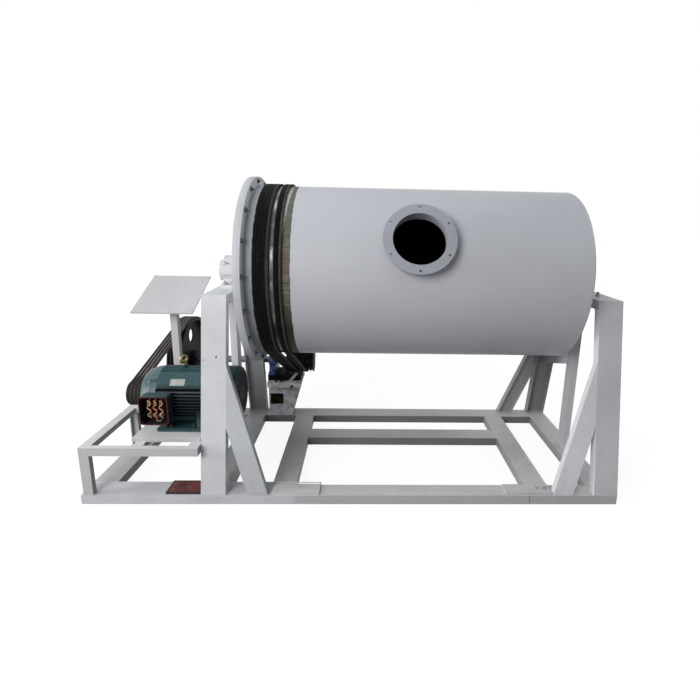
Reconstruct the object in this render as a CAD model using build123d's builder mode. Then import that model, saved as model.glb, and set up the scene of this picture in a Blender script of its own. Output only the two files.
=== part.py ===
"""Batch ball mill on a welded channel base, with V-belt drive and electric motor.

Units are millimetres. +X runs along the drum towards its plain end, +Y to the back, +Z up.
Z = 0 is the ground under the base, and the drum's axis stands above the base's centre line.
"""
from build123d import *
from math import atan2, cos, degrees, hypot, radians, sin, sqrt, tan
import os

os.makedirs("parts", exist_ok=True)

# Drum
drum_radius = 600.0
shell_thickness = 12.0
drum_length = 2235.0
axis_height = 1460.0
flange_width = 60.0
head_thickness = 22.0
flange_thickness = 23.0
plain_head_thickness = 16.0
plain_head_rounding = 10.0

# Manhole
manhole_from_end = 1125.0
manhole_bore = 334.0
manhole_wall = 8.0
manhole_flange_width = 61.0
manhole_flange_thickness = 18.0
manhole_reach = 58.0
manhole_tilt = 25.5
manhole_bolt_inset = 22.0
manhole_bolts = 6
manhole_bolt_hole = 16.0

# Trunnions and main bearings
trunnion_radius = 55.0
running_gap = 0.05
hub_radius = 150.0
hub_thickness = 30.0
bearing_centre_height = 110.0
bearing_cap_radius = 108.0
bearing_waist = 92.0
bearing_foot_length = 340.0
bearing_foot_thickness = 30.0
bearing_lug_reach = 20.0
bearing_lug_drop = 17.0
bearing_lug_rise = 56.0
seal_width = 8.0
seal_depth = 22.0
left_bearing_width = 120.0
right_bearing_width = 52.0
left_bearing_offset = 13.0
end_cover = 8.0
end_cover_radius = 76.0
end_cover_reach = 24.0
end_play = 6.0

# Channels of the base and the stands
base_depth = 1410.0
drive_bay = 852.0
left_clearance = 103.0
right_clearance = 120.0
channel_width = 160.0
channel_height = 65.0
narrow_width = 126.0
brace_depth = 53.0
web = 8.5
lip = 10.0
splice_from_leg = 454.0
left_cross_offset = 443.0
right_cross_offset = 434.0
middle_beam_y = 192.0
splice_plate_length = 314.0
splice_plate_thickness = 12.0
splice_plate_inset = 8.0
right_splice_offset = 83.0
bearing_beam_half = 448.0
post_width = 100.0
post_depth = 48.0
tie_width = 110.0
tie_thickness = 12.0
tie_post_height = 750.0
tie_leg_height = 580.0
brace_foot = 133.0
left_brace_gap = 21.0
right_brace_gap = 2.0
left_brace_top = 907.0
leg_slot_length = 26.0
leg_slot_width = 9.0
leg_slot_tilt = 62.0
leg_slot_inset = 62.0
leg_slot_height = 961.0
leg_hole = 9.0
leg_hole_inset = 15.0
leg_hole_height = 937.0
right_brace_top = 957.0

# V-belts: the ribs' section, the thin joint between ribs, and the clearances in a groove
belt_pitch = 25.4
belt_top = 22.0
belt_foot = 12.4
belt_height = 14.0
belt_joint = 2.5
belt_joint_depth = 1.2
belt_gap = 0.4
groove_side_gap = 0.5
groove_relief = 3.0
land_gap = 0.8

# Countershaft behind the drum, its pulley and large sheave
shaft_z = 568.0
shaft_radius = 30.0
shaft_clearance = 15.6
drum_groove_count = 9
left_group_belts = 4
right_group_belts = 2
empty_groove_count = 1
belt_track_offset = 61.0
pulley_seat = 96.0
pulley_edge = 6.0
motor_groove_count = 4
wheel_seat = 371.0
wheel_width = 120.0
wheel_from_end = 195.0
wheel_rim_depth = 21.0
wheel_web = 20.0
wheel_hub_radius = 75.0
wheel_holes = 4
wheel_turn = 80.0
wheel_hole_margin = 75.5
motor_sheave_seat = 71.0
left_overhang = 12.0
right_overhang = 8.0

# Pillow blocks of the countershaft, their risers and pedestals
block_width = 72.0
block_centre_height = 110.0
block_cap_radius = 84.0
block_waist = 72.0
block_foot_length = 240.0
block_foot_thickness = 30.0
block_lug_reach = 16.0
block_lug_drop = 14.0
block_lug_rise = 14.0
block_gap = 39.0
wheel_gap = 40.0
riser_height = 58.0
riser_inset = 10.0
riser_reach = 80.0
riser_step = 137.0
riser_step_drop = 23.0
pedestal_plate = 15.0
pedestal_front_margin = 35.0
pedestal_rear_margin = 5.0
pedestal_inset = 8.0
gusset = 12.0
right_pedestal_length = 299.0
right_pedestal_opening = 131.0
pedestal_lip = 32.0
pedestal_sill = 105.0
pedestal_window_height = 105.0
right_pedestal_taper = 93.0
left_pedestal_outside = 25.0
left_pedestal_inside = 45.0
left_pedestal_taper = 15.0

# Motor
motor_radius = 197.0
motor_foot_gap = 3.0
motor_leg_gap = 7.7
motor_gap = 15.0
bell_length = 115.0
bell_boss_radius = 72.0
frame_length = 370.0
cowl_length = 155.0
cowl_wall = 8.0
cowl_slot_count = 24
cowl_slot_width = 9.0
cowl_slot_depth = 12.0
cowl_hub_radius = 46.0
motor_shaft_radius = 27.5
fin_depth = 26.0
fin_pitch = 22.0
fin_gap = 14.0
side_fin_count = 9
top_fin_count = 7
lug_radius = 17.0
lug_length = 46.0
lug_proud = 3.0
motor_foot_length = 320.0
motor_foot_inner = 90.0
motor_foot_half = 198.0
motor_foot_thickness = 22.0
foot_web = 40.0
foot_web_drop = 60.0
plate_pad_from_frame = 12.0
plate_pad_length = 275.0
plate_pad_width = 112.0
eye_boss_from_frame = 135.0
eye_boss_radius = 24.0
eye_boss_height = 14.0
terminal_width = 186.0
terminal_height = 195.0
terminal_depth = 80.0
terminal_wall = 7.0
terminal_offset = 25.0
terminal_drop = 15.0
terminal_standoff = 5.0
terminal_corner = 24.0

# Motor sub-frame
rail_width = 63.0
rail_height = 40.0
rail_wall = 7.0
front_rail_height = 55.0
leg_cleat_reach = 65.0
subframe_top = 400.0
subframe_inset = 20.0
rear_rail_gap = 113.0
motor_plate_thickness = 25.0
plate_left_margin = 10.0
plate_right_gap = 10.0
plate_front_margin = 47.0
plate_rear_margin = 12.0
rail_inset = 26.0

# Control shelf and the loose plate
shelf_width = 434.0
shelf_length = 484.0
shelf_thickness = 8.0
shelf_slope = 25.0
shelf_height = 1278.0
shelf_shift = -24.0
shelf_set_back = 53.5
shelf_post_offset = 97.0
shelf_post_side = 50.0
shelf_post_wall = 4.0
loose_plate_length = 232.0
loose_plate_thickness = 12.0
loose_plate_inset = 12.0

# Places along X that follow from the sizes above
base_length = (drive_bay + channel_width / 2 + left_clearance + drum_length + right_clearance
               + channel_width)
base_left = -base_length / 2
base_right = base_length / 2
left_stand_x = base_left + drive_bay
right_stand_x = base_right - channel_width / 2
left_leg_left = left_stand_x - channel_width / 2
left_leg_right = left_stand_x + channel_width / 2
right_leg_left = right_stand_x - channel_width / 2
drum_left = left_leg_right + left_clearance
drum_right = drum_left + drum_length
shell_left = drum_left + head_thickness
shell_right = drum_right - plain_head_thickness
manhole_x = drum_left + manhole_from_end
splice_x = left_leg_right + splice_from_leg
left_cross_x = left_stand_x + left_cross_offset
right_cross_x = right_stand_x - right_cross_offset
right_splice_x = right_cross_x - right_splice_offset
track_left = shell_left + flange_thickness + belt_track_offset
track_width = drum_groove_count * belt_pitch
wheel_left = base_left + wheel_from_end
wheel_right = wheel_left + wheel_width
wheel_middle = wheel_left + wheel_width / 2
right_block_left = left_leg_right + block_gap
left_block_left = wheel_right + wheel_gap
motor_left = wheel_right + motor_gap
frame_left = motor_left + bell_length
cowl_left = frame_left + frame_length
motor_right = cowl_left + cowl_length

# Heights, and places along Y counted from the drum's axis
front_y = -base_depth / 2
flange_radius = drum_radius + flange_width
beam_top = axis_height - bearing_centre_height
beam_under = beam_top - channel_height
lean_run = (-front_y - bearing_beam_half) / beam_under
lean = degrees(atan2(lean_run, 1.0))
leg_skin = web / cos(radians(lean))
leg_depth = channel_height / cos(radians(lean))
block_base = shaft_z - block_centre_height
pedestal_height = block_base - riser_height
motor_centre_height = motor_radius + motor_foot_gap
motor_base = subframe_top + motor_plate_thickness
motor_z = motor_base + motor_centre_height
belt_land = belt_height - belt_joint_depth - belt_joint - land_gap
rib_slope = (belt_top - belt_foot) / 2 / belt_height


def face_y(z):
    """Y of the front legs' outer face at a height, counted from the drum's axis."""
    return front_y + (z - channel_height) * lean_run


shaft_y = -face_y(shaft_z) + shaft_radius + shaft_clearance
motor_y = face_y(motor_z) + leg_depth + motor_leg_gap + motor_radius
subframe_rear = motor_y + motor_radius + rear_rail_gap
rear_reach = shaft_y + wheel_seat + belt_gap + belt_height
axis_y = -(front_y + rear_reach) / 2


def at(x, y, z):
    """A point whose y is counted from the drum's axis."""
    return (x, axis_y + y, z)


def across(x):
    """Sketch plane square to X: its x is Y counted from the drum's axis, its y is Z."""
    return Plane(origin=at(x, 0, 0), x_dir=(0, 1, 0), z_dir=(1, 0, 0))


def along(y):
    """Sketch plane facing the front: its x is X, its y is Z."""
    return Plane(origin=at(0, y, 0), x_dir=(1, 0, 0), z_dir=(0, -1, 0))


def through(y, z):
    """Sketch plane through an axis along X: its x is X, its y is the radius."""
    return Plane(origin=at(0, y, z), x_dir=(1, 0, 0), z_dir=(0, -1, 0))


def block(x0, x1, y0, y1, z0, z1):
    """Plain block between two corners."""
    with BuildPart(mode=Mode.PRIVATE) as piece:
        with Locations(at((x0 + x1) / 2, (y0 + y1) / 2, (z0 + z1) / 2)):
            Box(x1 - x0, y1 - y0, z1 - z0)
    return piece.part


def rod(x0, x1, radius, y=0.0, z=0.0):
    """Round bar along X."""
    with BuildPart(mode=Mode.PRIVATE) as piece:
        with BuildSketch(across(x0)):
            with Locations((y, z)):
                Circle(radius)
        extrude(amount=x1 - x0)
    return piece.part


def flat_channel(x0, x1, y0, y1, top, height, run, skin=web, side=lip):
    """Channel lying web up, running along X or Y, with its lips down."""
    width = y1 - y0 if run == "X" else x1 - x0
    near = y0 if run == "X" else x0
    with BuildPart(mode=Mode.PRIVATE) as piece:
        with BuildSketch(across(x0) if run == "X" else along(y1)):
            with BuildLine():
                Polyline((near, top - height), (near, top), (near + width, top),
                         (near + width, top - height), (near + width - side, top - height),
                         (near + width - side, top - skin), (near + side, top - skin),
                         (near + side, top - height), close=True)
            make_face()
        extrude(amount=x1 - x0 if run == "X" else y1 - y0)
    return piece.part


def front_leg(x):
    """Leaning channel leg, web to the front, lips towards the middle."""
    with BuildPart(mode=Mode.PRIVATE) as leg:
        with BuildSketch(across(x - channel_width / 2)):
            with BuildLine():
                Polyline((front_y, channel_height), (face_y(beam_top), beam_top),
                         (face_y(beam_top) + leg_skin, beam_top),
                         (face_y(beam_under) + leg_skin, beam_under),
                         (face_y(beam_under) + leg_depth, beam_under),
                         (front_y + leg_depth, channel_height), close=True)
            make_face()
        extrude(amount=channel_width)
        with BuildSketch(across(x - channel_width / 2 + lip)):
            with BuildLine():
                Polyline((front_y + leg_skin, channel_height),
                         (face_y(beam_under) + leg_skin, beam_under),
                         (face_y(beam_under) + 2 * leg_depth, beam_under),
                         (front_y + 2 * leg_depth, channel_height), close=True)
            make_face()
        extrude(amount=channel_width - 2 * lip, mode=Mode.SUBTRACT)
    return leg.part


def front_brace(leg_edge, foot_outer, foot_inner, top):
    """Channel brace in the plane of the front leg's face, from the base to the leg's edge."""
    slant = cos(radians(lean))
    rise = (top - channel_height) / slant
    slope = (leg_edge - foot_outer) / rise
    inner_rise = (leg_edge - foot_inner) / slope
    below = channel_height
    edge = lip * sqrt(1 + slope * slope) * (1 if foot_inner > foot_outer else -1)
    face = Plane(origin=at(0, front_y, channel_height), x_dir=(1, 0, 0),
                 z_dir=(0, -slant, sin(radians(lean))))
    with BuildPart(mode=Mode.PRIVATE) as brace:
        with BuildSketch(face):
            with BuildLine():
                Polyline((foot_outer - slope * below, -below), (foot_inner - slope * below, -below),
                         (leg_edge, inner_rise), (leg_edge, rise), close=True)
            make_face()
        extrude(amount=-brace_depth)
        with BuildSketch(face.offset(-web)):
            with BuildLine():
                Polyline((foot_outer + edge - slope * 2 * below, -2 * below),
                         (foot_inner - edge - slope * 2 * below, -2 * below),
                         (foot_inner - edge + slope * 2 * rise, 2 * rise),
                         (foot_outer + edge + slope * 2 * rise, 2 * rise), close=True)
            make_face()
        extrude(amount=-brace_depth, mode=Mode.SUBTRACT)
        split(bisect_by=Plane.XY.offset(channel_height), keep=Keep.TOP)
    return brace.part


def pillow_block(x0, x1, y, z, rise, bore, cap, waist, foot, foot_rise, lug_reach, lug_drop,
                 lug_rise):
    """Split bearing housing: foot, waisted body, round cap with bolt lugs, and seal rings."""
    base = z - rise
    shoulder = waist + (rise - foot_rise) / 6
    with BuildPart(mode=Mode.PRIVATE) as housing:
        with BuildSketch(across(x0 + seal_width)):
            with BuildLine():
                Polyline((y - foot / 2, base), (y + foot / 2, base),
                         (y + foot / 2, base + foot_rise * 0.8), (y + shoulder, base + foot_rise),
                         (y + waist, base + (rise + foot_rise) / 2), (y + waist, z),
                         (y - waist, z), (y - waist, base + (rise + foot_rise) / 2),
                         (y - shoulder, base + foot_rise), (y - foot / 2, base + foot_rise * 0.8),
                         close=True)
            make_face()
            with Locations((y, z)):
                Circle(cap)
            with Locations((y, z + (lug_rise - lug_drop) / 2)):
                Rectangle(2 * (cap + lug_reach), lug_rise + lug_drop)
        extrude(amount=x1 - x0 - 2 * seal_width)
        add(rod(x0, x1, bore + seal_depth, y, z))
    return housing.part


def rib_outline(seat, low, high, spare):
    """Corners of a belt rib's section, or of a groove's, at a radius under the rib."""
    low_half = belt_foot / 2 + spare + low * rib_slope
    high_half = belt_foot / 2 + spare + high * rib_slope
    return [(-low_half, seat + low), (low_half, seat + low),
            (high_half, seat + high), (-high_half, seat + high)]


def grooved_blank(x0, width, ribs, seat, inner, y, z):
    """Ring with V-grooves for the ribs, which are centred on its width."""
    with BuildPart(mode=Mode.PRIVATE) as blank:
        with BuildSketch(through(y, z)):
            with Locations((x0 + width / 2, (inner + seat + belt_land) / 2)):
                Rectangle(width, seat + belt_land - inner)
            with Locations((x0 + width / 2, 0)):
                with GridLocations(belt_pitch, 0, ribs, 1):
                    Polygon(*rib_outline(seat, -groove_relief, belt_height, groove_side_gap),
                            align=None, mode=Mode.SUBTRACT)
        revolve(axis=Axis(at(0, y, z), (1, 0, 0)))
    return blank.part


def belt_loop(first_rib, ribs, y1, z1, r1, y2, z2, r2):
    """Joined V-belts round two wheels, with r1 and r2 the radii under the ribs."""
    distance = hypot(y2 - y1, z2 - z1)
    heading = degrees(atan2(z2 - z1, y2 - y1))
    wedge = degrees(atan2(r2 - r1, sqrt(distance ** 2 - (r2 - r1) ** 2)))
    up, down = heading + 90 + wedge, heading - 90 - wedge

    def on(y, z, r, angle):
        return (y + r * cos(radians(angle)), z + r * sin(radians(angle)))

    with BuildPart(mode=Mode.PRIVATE) as loop:
        with BuildLine(across(first_rib)) as path:
            Line(on(y1, z1, r1, up), on(y2, z2, r2, up))
            ThreePointArc(on(y2, z2, r2, up), on(y2, z2, r2, heading), on(y2, z2, r2, down))
            Line(on(y2, z2, r2, down), on(y1, z1, r1, down))
            ThreePointArc(on(y1, z1, r1, down), on(y1, z1, r1, heading + 180), on(y1, z1, r1, up))
        run = path.edges().filter_by(GeomType.LINE).sort_by(Axis.Z)[-1]
        start, tangent = run @ 0, run % 0
        outward = Vector(0, -tangent.Z, tangent.Y)
        if outward.Z < 0:
            outward = -outward
        with BuildSketch(Plane(origin=start, x_dir=(1, 0, 0), z_dir=Vector(1, 0, 0).cross(outward))):
            with Locations(*[(i * belt_pitch, 0) for i in range(ribs)]):
                Polygon(*rib_outline(0, 0, belt_height, 0), align=None)
            with Locations(((ribs - 1) * belt_pitch / 2,
                            belt_height - belt_joint_depth - belt_joint / 2)):
                Rectangle((ribs - 1) * belt_pitch, belt_joint)
        sweep(path=path.wires()[0])
    return loop.part


def pedestal(x0, x1, taper, opening=0.0):
    """Lipped top on two plates and a web, standing on the rear beam.

    Without an opening the plates taper to their feet. An opening is a window in the front
    plate: a sill and a head close the plate round it, and an end plate closes the box.
    """
    under = pedestal_height - pedestal_plate
    rear_back = -front_y - pedestal_inset
    rear_front = -front_y - channel_width + pedestal_inset
    front = shaft_y - block_foot_length / 2 - pedestal_front_margin
    foot_left = x0 + opening if opening else x0 + taper
    middle = (foot_left + x1 - taper) / 2
    with BuildPart(mode=Mode.PRIVATE) as stand:
        add(block(x0, x1, front, shaft_y + block_foot_length / 2 + pedestal_rear_margin,
                  under, pedestal_height))
        add(block(x0, x1, front, front + gusset, under - pedestal_lip, under))
        for face, left in ((rear_front + gusset, x0 + opening), (rear_back, x0)):
            with BuildSketch(along(face)):
                with BuildLine():
                    Polyline((left, under), (x1, under), (x1 - taper, channel_height),
                             (left if opening else foot_left, channel_height), close=True)
                make_face()
            extrude(amount=gusset)
        add(block(middle - gusset / 2, middle + gusset / 2, rear_front, rear_back,
                  channel_height, under))
        if opening:
            sill = channel_height + pedestal_sill
            add(block(x0, foot_left, rear_front, rear_front + gusset, channel_height, sill))
            add(block(x0, foot_left, rear_front, rear_front + gusset,
                      sill + pedestal_window_height, under))
            add(block(x0, x0 + gusset, rear_front, rear_back, channel_height, under))
    return stand.part


# Base: channels lying web up
with BuildPart() as front_beam_left:
    add(flat_channel(base_left, splice_x, front_y, front_y + channel_width,
                     channel_height, channel_height, "X"))
front_beam_left.part.label = "front_beam_left"
export_step(front_beam_left.part, "parts/front_beam_left.step")

with BuildPart() as front_beam_main:
    add(flat_channel(splice_x, base_right, front_y, front_y + narrow_width,
                     channel_height, channel_height, "X"))
front_beam_main.part.label = "front_beam_main"
export_step(front_beam_main.part, "parts/front_beam_main.step")

with BuildPart() as rear_beam:
    add(flat_channel(base_left, base_right, -front_y - channel_width, -front_y,
                     channel_height, channel_height, "X"))
rear_beam.part.label = "rear_beam"
export_step(rear_beam.part, "parts/rear_beam.step")

with BuildPart() as cross_beams:
    for centre in (base_left + channel_width / 2, left_stand_x, left_cross_x,
                   right_cross_x, right_stand_x):
        front_width = channel_width if centre - channel_width / 2 < splice_x else narrow_width
        add(flat_channel(centre - channel_width / 2, centre + channel_width / 2,
                         front_y + front_width, -front_y - channel_width,
                         channel_height, channel_height, "Y"))
cross_beams.part.label = "cross_beams"
export_step(cross_beams.part, "parts/cross_beams.step")

with BuildPart() as middle_beam:
    add(flat_channel(left_cross_x + channel_width / 2, right_cross_x - channel_width / 2,
                     middle_beam_y - channel_width / 2, middle_beam_y + channel_width / 2,
                     channel_height, channel_height, "X"))
middle_beam.part.label = "middle_beam"
export_step(middle_beam.part, "parts/middle_beam.step")

with BuildPart() as splice_plates:
    for centre in (splice_x, right_splice_x):
        add(block(centre - splice_plate_length / 2, centre + splice_plate_length / 2,
                  front_y + splice_plate_inset, front_y + narrow_width - splice_plate_inset,
                  channel_height, channel_height + splice_plate_thickness))
splice_plates.part.label = "splice_plates"
export_step(splice_plates.part, "parts/splice_plates.step")

# Stands: leaning legs, upright post and a top beam for each main bearing
with BuildPart() as left_stand_legs:
    add(front_leg(left_stand_x))
    mirror(about=Plane(origin=at(0, 0, 0), z_dir=(0, 1, 0)))
    with BuildSketch(along(front_y)):
        with Locations((left_leg_right - leg_slot_inset, leg_slot_height)):
            SlotOverall(leg_slot_length, leg_slot_width, rotation=leg_slot_tilt)
        with Locations((left_leg_left + leg_hole_inset, leg_hole_height)):
            Circle(leg_hole / 2)
    extrude(amount=front_y, mode=Mode.SUBTRACT)
left_stand_legs.part.label = "left_stand_legs"
export_step(left_stand_legs.part, "parts/left_stand_legs.step")

with BuildPart() as right_stand_legs:
    add(front_leg(right_stand_x))
    mirror(about=Plane(origin=at(0, 0, 0), z_dir=(0, 1, 0)))
right_stand_legs.part.label = "right_stand_legs"
export_step(right_stand_legs.part, "parts/right_stand_legs.step")

with BuildPart() as centre_posts:
    for centre, side in ((left_stand_x, 1), (right_stand_x, -1)):
        add(block(centre - post_depth / 2, centre + post_depth / 2, -post_width / 2, post_width / 2,
                  channel_height, beam_top - web))
        near, far = sorted((centre - side * post_depth, centre + side * (post_depth / 2 - web)))
        add(block(near, far, -post_width / 2 + lip, post_width / 2 - lip, channel_height, beam_top),
            mode=Mode.SUBTRACT)
centre_posts.part.label = "centre_posts"
export_step(centre_posts.part, "parts/centre_posts.step")

with BuildPart() as left_stand_brace:
    left_foot = splice_x - splice_plate_length / 2 - left_brace_gap
    add(front_brace(left_leg_right, left_foot, left_foot - brace_foot, left_brace_top))
left_stand_brace.part.label = "left_stand_brace"
export_step(left_stand_brace.part, "parts/left_stand_brace.step")

with BuildPart() as right_stand_braces:
    right_foot = right_splice_x + splice_plate_length / 2 + right_brace_gap
    add(front_brace(right_leg_left, right_foot, right_foot + brace_foot, right_brace_top))
    mirror(about=Plane(origin=at(0, 0, 0), z_dir=(0, 1, 0)))
right_stand_braces.part.label = "right_stand_braces"
export_step(right_stand_braces.part, "parts/right_stand_braces.step")

with BuildPart() as bearing_beams:
    for centre in (left_stand_x, right_stand_x):
        with BuildSketch(across(centre - channel_width / 2)):
            with BuildLine():
                Polyline((face_y(beam_under) + leg_skin, beam_under),
                         (face_y(beam_top) + leg_skin, beam_top),
                         (-face_y(beam_top) - leg_skin, beam_top),
                         (-face_y(beam_under) - leg_skin, beam_under), close=True)
            make_face()
        extrude(amount=channel_width)
        add(block(centre - channel_width / 2 + lip, centre + channel_width / 2 - lip,
                  face_y(beam_under), -face_y(beam_under), beam_under - web, beam_top - web),
            mode=Mode.SUBTRACT)
bearing_beams.part.label = "bearing_beams"
export_step(bearing_beams.part, "parts/bearing_beams.step")

with BuildPart() as right_leg_tie:
    with BuildSketch(across(right_stand_x - tie_thickness / 2)):
        with BuildLine():
            Polyline((post_width / 2, tie_post_height),
                     (-face_y(tie_leg_height) - leg_skin, tie_leg_height),
                     (-face_y(tie_leg_height + tie_width) - leg_skin, tie_leg_height + tie_width),
                     (post_width / 2, tie_post_height + tie_width), close=True)
        make_face()
    extrude(amount=tie_thickness)
right_leg_tie.part.label = "right_leg_tie"
export_step(right_leg_tie.part, "parts/right_leg_tie.step")

# Main bearings: the left one has an end cover, the right one is open for the trunnion's end
left_bearing_left = left_stand_x - left_bearing_width / 2 + left_bearing_offset
right_bearing_right = right_leg_left + right_bearing_width

with BuildPart() as left_bearing:
    add(pillow_block(left_bearing_left, left_bearing_left + left_bearing_width, 0, axis_height,
                     bearing_centre_height, trunnion_radius, bearing_cap_radius, bearing_waist,
                     bearing_foot_length, bearing_foot_thickness, bearing_lug_reach,
                     bearing_lug_drop, bearing_lug_rise))
    add(rod(left_bearing_left - end_cover_reach, left_bearing_left + end_cover,
            end_cover_radius, 0, axis_height))
    add(rod(left_bearing_left + end_cover, left_bearing_left + 2 * left_bearing_width,
            trunnion_radius + running_gap, 0, axis_height), mode=Mode.SUBTRACT)
left_bearing.part.label = "left_bearing"
export_step(left_bearing.part, "parts/left_bearing.step")

with BuildPart() as right_bearing:
    add(pillow_block(right_leg_left, right_bearing_right, 0, axis_height, bearing_centre_height,
                     trunnion_radius, bearing_cap_radius, bearing_waist, bearing_foot_length,
                     bearing_foot_thickness, bearing_lug_reach, bearing_lug_drop,
                     bearing_lug_rise))
    add(rod(drum_right, right_bearing_right + channel_width, trunnion_radius + running_gap,
            0, axis_height), mode=Mode.SUBTRACT)
right_bearing.part.label = "right_bearing"
export_step(right_bearing.part, "parts/right_bearing.step")

# Drum
manhole_turn = radians(manhole_tilt)
manhole_axis = Plane(origin=at(manhole_x, 0, axis_height), x_dir=(1, 0, 0),
                     z_dir=(0, -cos(manhole_turn), sin(manhole_turn)))

with BuildPart() as drum_shell:
    add(rod(shell_left, shell_right, drum_radius, 0, axis_height))
    add(rod(drum_left, drum_right, drum_radius - shell_thickness, 0, axis_height),
        mode=Mode.SUBTRACT)
    with BuildSketch(manhole_axis):
        Circle(manhole_bore / 2)
    extrude(amount=drum_radius + manhole_reach, mode=Mode.SUBTRACT)
drum_shell.part.label = "drum_shell"
export_step(drum_shell.part, "parts/drum_shell.step")

with BuildPart() as drum_flange:
    add(rod(shell_left, shell_left + flange_thickness, flange_radius, 0, axis_height))
    add(rod(drum_left, shell_right, drum_radius, 0, axis_height), mode=Mode.SUBTRACT)
drum_flange.part.label = "drum_flange"
export_step(drum_flange.part, "parts/drum_flange.step")

with BuildPart() as left_head:
    add(rod(drum_left, shell_left, flange_radius, 0, axis_height))
left_head.part.label = "left_head"
export_step(left_head.part, "parts/left_head.step")

with BuildPart() as right_head:
    add(rod(shell_right, drum_right, drum_radius, 0, axis_height))
    fillet(right_head.edges().filter_by(GeomType.CIRCLE).sort_by(Axis.X)[-1],
           min(plain_head_rounding, 0.9 * plain_head_thickness))
right_head.part.label = "right_head"
export_step(right_head.part, "parts/right_head.step")

with BuildPart() as left_trunnion:
    add(rod(drum_left - hub_thickness, drum_left, hub_radius, 0, axis_height))
    add(rod(left_bearing_left + end_cover + end_play, drum_left, trunnion_radius, 0, axis_height))
left_trunnion.part.label = "left_trunnion"
export_step(left_trunnion.part, "parts/left_trunnion.step")

with BuildPart() as right_trunnion:
    add(rod(drum_right, drum_right + hub_thickness, hub_radius, 0, axis_height))
    add(rod(drum_right, right_bearing_right + 2 * end_play, trunnion_radius, 0, axis_height))
right_trunnion.part.label = "right_trunnion"
export_step(right_trunnion.part, "parts/right_trunnion.step")

with BuildPart() as manhole_neck:
    neck_bottom = drum_radius - manhole_bore / 4
    flange_seat = drum_radius + manhole_reach - manhole_flange_thickness
    with BuildSketch(manhole_axis.offset(neck_bottom)):
        Circle(manhole_bore / 2 + manhole_wall)
    extrude(amount=flange_seat - neck_bottom)
    with BuildSketch(manhole_axis.offset(flange_seat)):
        Circle(manhole_bore / 2 + manhole_flange_width)
        with PolarLocations(manhole_bore / 2 + manhole_flange_width - manhole_bolt_inset,
                            manhole_bolts, start_angle=90):
            Circle(manhole_bolt_hole / 2, mode=Mode.SUBTRACT)
    extrude(amount=manhole_flange_thickness)
    with BuildSketch(manhole_axis):
        Circle(manhole_bore / 2)
    extrude(amount=drum_radius + 2 * manhole_reach, mode=Mode.SUBTRACT)
    add(rod(drum_left, drum_right, drum_radius, 0, axis_height), mode=Mode.SUBTRACT)
manhole_neck.part.label = "manhole_neck"
export_step(manhole_neck.part, "parts/manhole_neck.step")

# Belt drive behind the drum: two groups of joined belts, with grooves left empty beside them
first_rib = track_left + belt_pitch / 2
with BuildPart() as drum_belts:
    for groove, ribs in ((0, left_group_belts), (left_group_belts + empty_groove_count, right_group_belts)):
        add(belt_loop(first_rib + groove * belt_pitch, ribs, shaft_y, shaft_z,
                      pulley_seat + belt_gap, 0, axis_height, drum_radius + belt_gap))
drum_belts.part.label = "drum_belts"
export_step(drum_belts.part, "parts/drum_belts.step")

with BuildPart() as drive_pulley:
    pulley_left = track_left - pulley_edge
    pulley_right = track_left + track_width + pulley_edge
    add(grooved_blank(pulley_left, pulley_right - pulley_left, drum_groove_count, pulley_seat,
                      shaft_radius, shaft_y, shaft_z))
drive_pulley.part.label = "drive_pulley"
export_step(drive_pulley.part, "parts/drive_pulley.step")

with BuildPart() as countershaft:
    add(rod(wheel_left - left_overhang, pulley_right + right_overhang, shaft_radius,
            shaft_y, shaft_z))
countershaft.part.label = "countershaft"
export_step(countershaft.part, "parts/countershaft.step")

with BuildPart() as large_sheave:
    rim_inner = wheel_seat - wheel_rim_depth
    hole_circle = (wheel_hub_radius + rim_inner) / 2
    add(grooved_blank(wheel_left, wheel_width, motor_groove_count, wheel_seat, rim_inner,
                      shaft_y, shaft_z))
    add(rod(wheel_middle - wheel_web / 2, wheel_middle + wheel_web / 2, rim_inner,
            shaft_y, shaft_z))
    add(rod(wheel_left, wheel_right, wheel_hub_radius, shaft_y, shaft_z))
    with BuildSketch(across(wheel_left)):
        with Locations((shaft_y, shaft_z)):
            with PolarLocations(hole_circle, wheel_holes, start_angle=wheel_turn):
                Circle((rim_inner - wheel_hub_radius) / 2 - wheel_hole_margin)
    extrude(amount=wheel_width, mode=Mode.SUBTRACT)
    add(rod(wheel_left - wheel_width, wheel_right + wheel_width, shaft_radius, shaft_y, shaft_z),
        mode=Mode.SUBTRACT)
large_sheave.part.label = "large_sheave"
export_step(large_sheave.part, "parts/large_sheave.step")

with BuildPart() as shaft_bearings:
    for x0 in (left_block_left, right_block_left):
        add(pillow_block(x0, x0 + block_width, shaft_y, shaft_z, block_centre_height, shaft_radius,
                         block_cap_radius, block_waist, block_foot_length, block_foot_thickness,
                         block_lug_reach, block_lug_drop, block_lug_rise))
    add(rod(wheel_left, pulley_right, shaft_radius + running_gap, shaft_y, shaft_z),
        mode=Mode.SUBTRACT)
shaft_bearings.part.label = "shaft_bearings"
export_step(shaft_bearings.part, "parts/shaft_bearings.step")

with BuildPart() as bearing_risers:
    for x0, reach in ((left_block_left, 0.0), (right_block_left, riser_reach)):
        add(block(x0, x0 + block_width + reach, shaft_y - block_foot_length / 2 + riser_inset,
                  shaft_y + block_foot_length / 2 - riser_inset, pedestal_height, block_base))
    step_left = right_block_left + block_width + riser_reach
    add(block(step_left, step_left + riser_step, shaft_y - block_foot_length / 2 + riser_inset,
              shaft_y + block_foot_length / 2 - riser_inset, pedestal_height,
              block_base - riser_step_drop))
bearing_risers.part.label = "bearing_risers"
export_step(bearing_risers.part, "parts/bearing_risers.step")

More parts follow.
